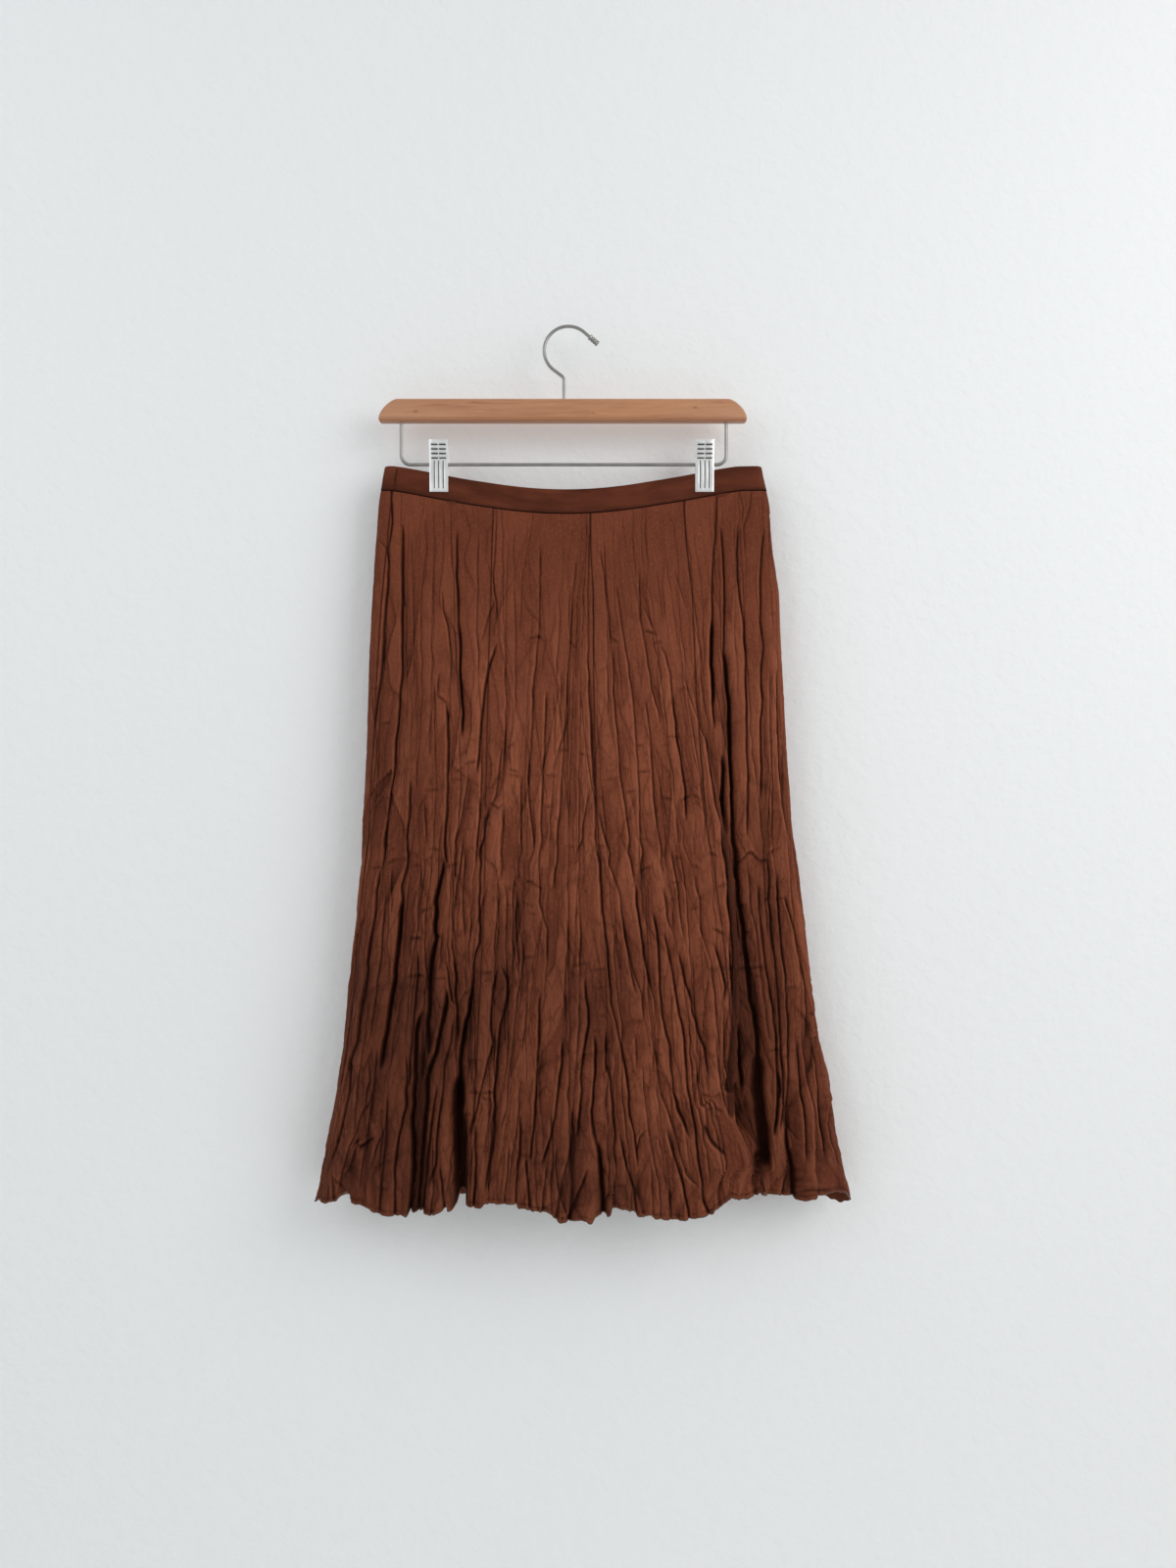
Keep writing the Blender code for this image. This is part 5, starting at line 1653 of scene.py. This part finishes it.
def makePads(x, facing, name):
    # small pressed pads for the finger in columns, with a dark slot of painted shade under each, as one piece
    wide, tall = clip["padWidth"], clip["padTall"]
    (bendZ, bendGap), (topZ, topGap) = plateProfile[-2:]
    slope = (topGap - bendGap) / (topZ - bendZ)
    made = []
    for column in range(clip["columns"]):
        for row in range(clip["rows"]):
            across = x + (column - (clip["columns"] - 1) / 2) * (wide + clip["padGap"])
            top = clip["padTop"] - row * clip["padStep"]
            low = top - tall - 0.45 * clip["slot"]
            parts = ((top - tall / 2, wide, clip["padThick"], tall, clipMaterial),
                     (low, wide + clip["slotOver"], clip["slotThick"], clip["slot"], grooveShadeMaterial))
            for z, partWide, thick, partTall, material in parts:
                y = facing * (bendGap + slope * (z - bendZ) + 1.0)
                pad = box((across, y, z), (partWide, thick, partTall))
                pad.data.materials.append(material)
                startEdit(pad)
                pick("edges", lambda e: True)
                bpy.ops.mesh.bevel(offset=0.4 * thick * mm, segments=3, affect="EDGES")
                bpy.ops.object.mode_set(mode="OBJECT")
                bpy.ops.transform.rotate(value=facing * math.atan(slope), orient_axis="X",
                                         center_override=(across * mm, y * mm, z * mm))
                made.append(pad)
    deselect()
    for pad in made:
        pad.select_set(True)
    bpy.context.view_layer.objects.active = made[0]
    bpy.ops.object.join()
    endPiece(bpy.context.active_object, name, clipMaterial, [])


# A clip's spring: its coils, wire and radius, the room at its ends, and its mesh's steps and sides
spring = {"coils": 9, "wire": 0.55, "radius": 2.6, "ends": 0.8, "steps": 18, "sides": 8}


def makeSpring(node):
    # the coil on the rod, between a clip's plates
    low, high = nodeBox(node)
    level = (low[2] + high[2]) / 2
    radius = spring["radius"]
    turns = np.linspace(0.0, 2 * math.pi * spring["coils"], spring["coils"] * spring["steps"] + 1)
    across = np.linspace(low[0] + spring["ends"], high[0] - spring["ends"], len(turns))
    centres = np.stack([across, radius * np.sin(turns), level + radius * np.cos(turns)], axis=-1)
    points = roundPath(centres, spring["wire"], spring["sides"])
    piece = gridObject(node.replace("clip", "coil"), points * mm, {}, {})
    closeEnds(piece)
    piece.data.materials.append(nickelMaterial)
    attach(piece, "root")
    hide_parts(node)


for side in ("left", "right"):
    for face, facing in (("front", -1), ("back", 1)):
        node = "clip_" + side + "_" + face
        makePads(makePlate(node, facing), facing, "pads_" + side + "_" + face)
    makeSpring("clip_" + side + "_spring")
print("clips made")


# The wall's and the floor's places in mm, their size in metres, and their colours
stage = {"wallY": 32.0, "wallZ": -450.0, "floorZ": -1450.0, "size": 9.0, "plaster": colour(242, 245, 246),
         "floorDark": colour(226, 226, 224), "floorLight": colour(236, 236, 235)}


def makeWall():
    # pale wall close behind; only its front is seen, so the back of the skirt can be looked at
    deselect()
    middle = (0.0, stage["wallY"] * mm, stage["wallZ"] * mm)
    bpy.ops.mesh.primitive_plane_add(size=stage["size"], location=middle, rotation=(math.radians(90.0), 0, 0))
    wall = bpy.context.active_object
    wall.name = "wall"
    fixed = {"Base Color": stage["plaster"], "Roughness": 0.8, "Specular IOR Level": 0.2}
    material, shade, shader = newMaterial("palePlaster", fixed)
    place = shade.place()
    lumps = place.noise(70.0, 3.0, 0.55)
    feed(shade, shader, normal=lumps.between(0.4, 0.65).bump(0.0007, 0.35))
    clear = shade.node("ShaderNodeBsdfTransparent")
    behind = shade.node("ShaderNodeNewGeometry", {}, output=6)
    ray = shade.node("ShaderNodeLightPath", {}, output=1)
    hidden = (behind + ray).clamped()
    solid = Shade(shade.tree, shader.outputs[0])
    mixed = shade.node("ShaderNodeMixShader", {}, {0: hidden, 1: solid, 2: clear})
    output = shade.tree.nodes["Material Output"]
    shade.tree.links.new(mixed.socket, output.inputs["Surface"])
    wall.data.materials.append(material)


def makeFloor():
    deselect()
    bpy.ops.mesh.primitive_plane_add(size=stage["size"], location=(0.0, 0.0, stage["floorZ"] * mm))
    floor = bpy.context.active_object
    floor.name = "floor"
    material, shade, shader = newMaterial("paleFloor", {"Roughness": 0.85})
    place = shade.place()
    base = place.noise(3.0, 2.0).mixed(stage["floorDark"], stage["floorLight"])
    feed(shade, shader, base=base)
    floor.data.materials.append(material)


# Lamps in metres and watts
lamps = table(
    "name place target size power tint",
    ("key", (1.35, -1.2, 0.25), (0.0, 0.0, -0.4), 1.2, 14.0, (1.0, 0.99, 0.97)),
    ("fill", (-1.3, -1.3, 0.3), (-0.1, 0.0, -0.3), 1.6, 10.0, (0.96, 0.98, 1.0)),
    ("behind", (0.6, 2.3, 0.5), (0.0, 0.0, -0.45), 1.8, 34.0, (1.0, 0.99, 0.97)),
)


# The room's light: the side it comes from, its colours away from and toward that side, its strength
roomLight = {"side": (0.45, 0.25, 0.85), "dim": (0.13, 0.13, 0.135, 1.0), "bright": (1.0, 1.0, 1.0, 1.0),
             "strength": 0.7}


def addLamps():
    for lamp in lamps:
        light = bpy.data.lights.new(lamp["name"], "AREA")
        light.size = lamp["size"]
        light.energy = lamp["power"]
        light.color = lamp["tint"]
        made = bpy.data.objects.new(lamp["name"], light)
        made.location = lamp["place"]
        away = Vector(lamp["target"]) - Vector(lamp["place"])
        made.rotation_euler = away.to_track_quat("-Z", "Y").to_euler()
        bpy.context.scene.collection.objects.link(made)


def lightRoom():
    world = bpy.data.worlds.new("studio")
    world.use_nodes = True
    shade = Shade(world.node_tree)
    toward = shade.node("ShaderNodeTexCoord")
    bright = toward.vector("DOT_PRODUCT", roomLight["side"], output=1)
    sky = bright.between(-0.9, 0.9).mixed(roomLight["dim"], roomLight["bright"])
    background = world.node_tree.nodes["Background"]
    background.inputs[1].default_value = roomLight["strength"]
    world.node_tree.links.new(sky.socket, background.inputs[0])
    bpy.context.scene.world = world
    bpy.context.scene.view_settings.view_transform = "Standard"


makeWall()
makeFloor()
addLamps()
lightRoom()
print("stage made")
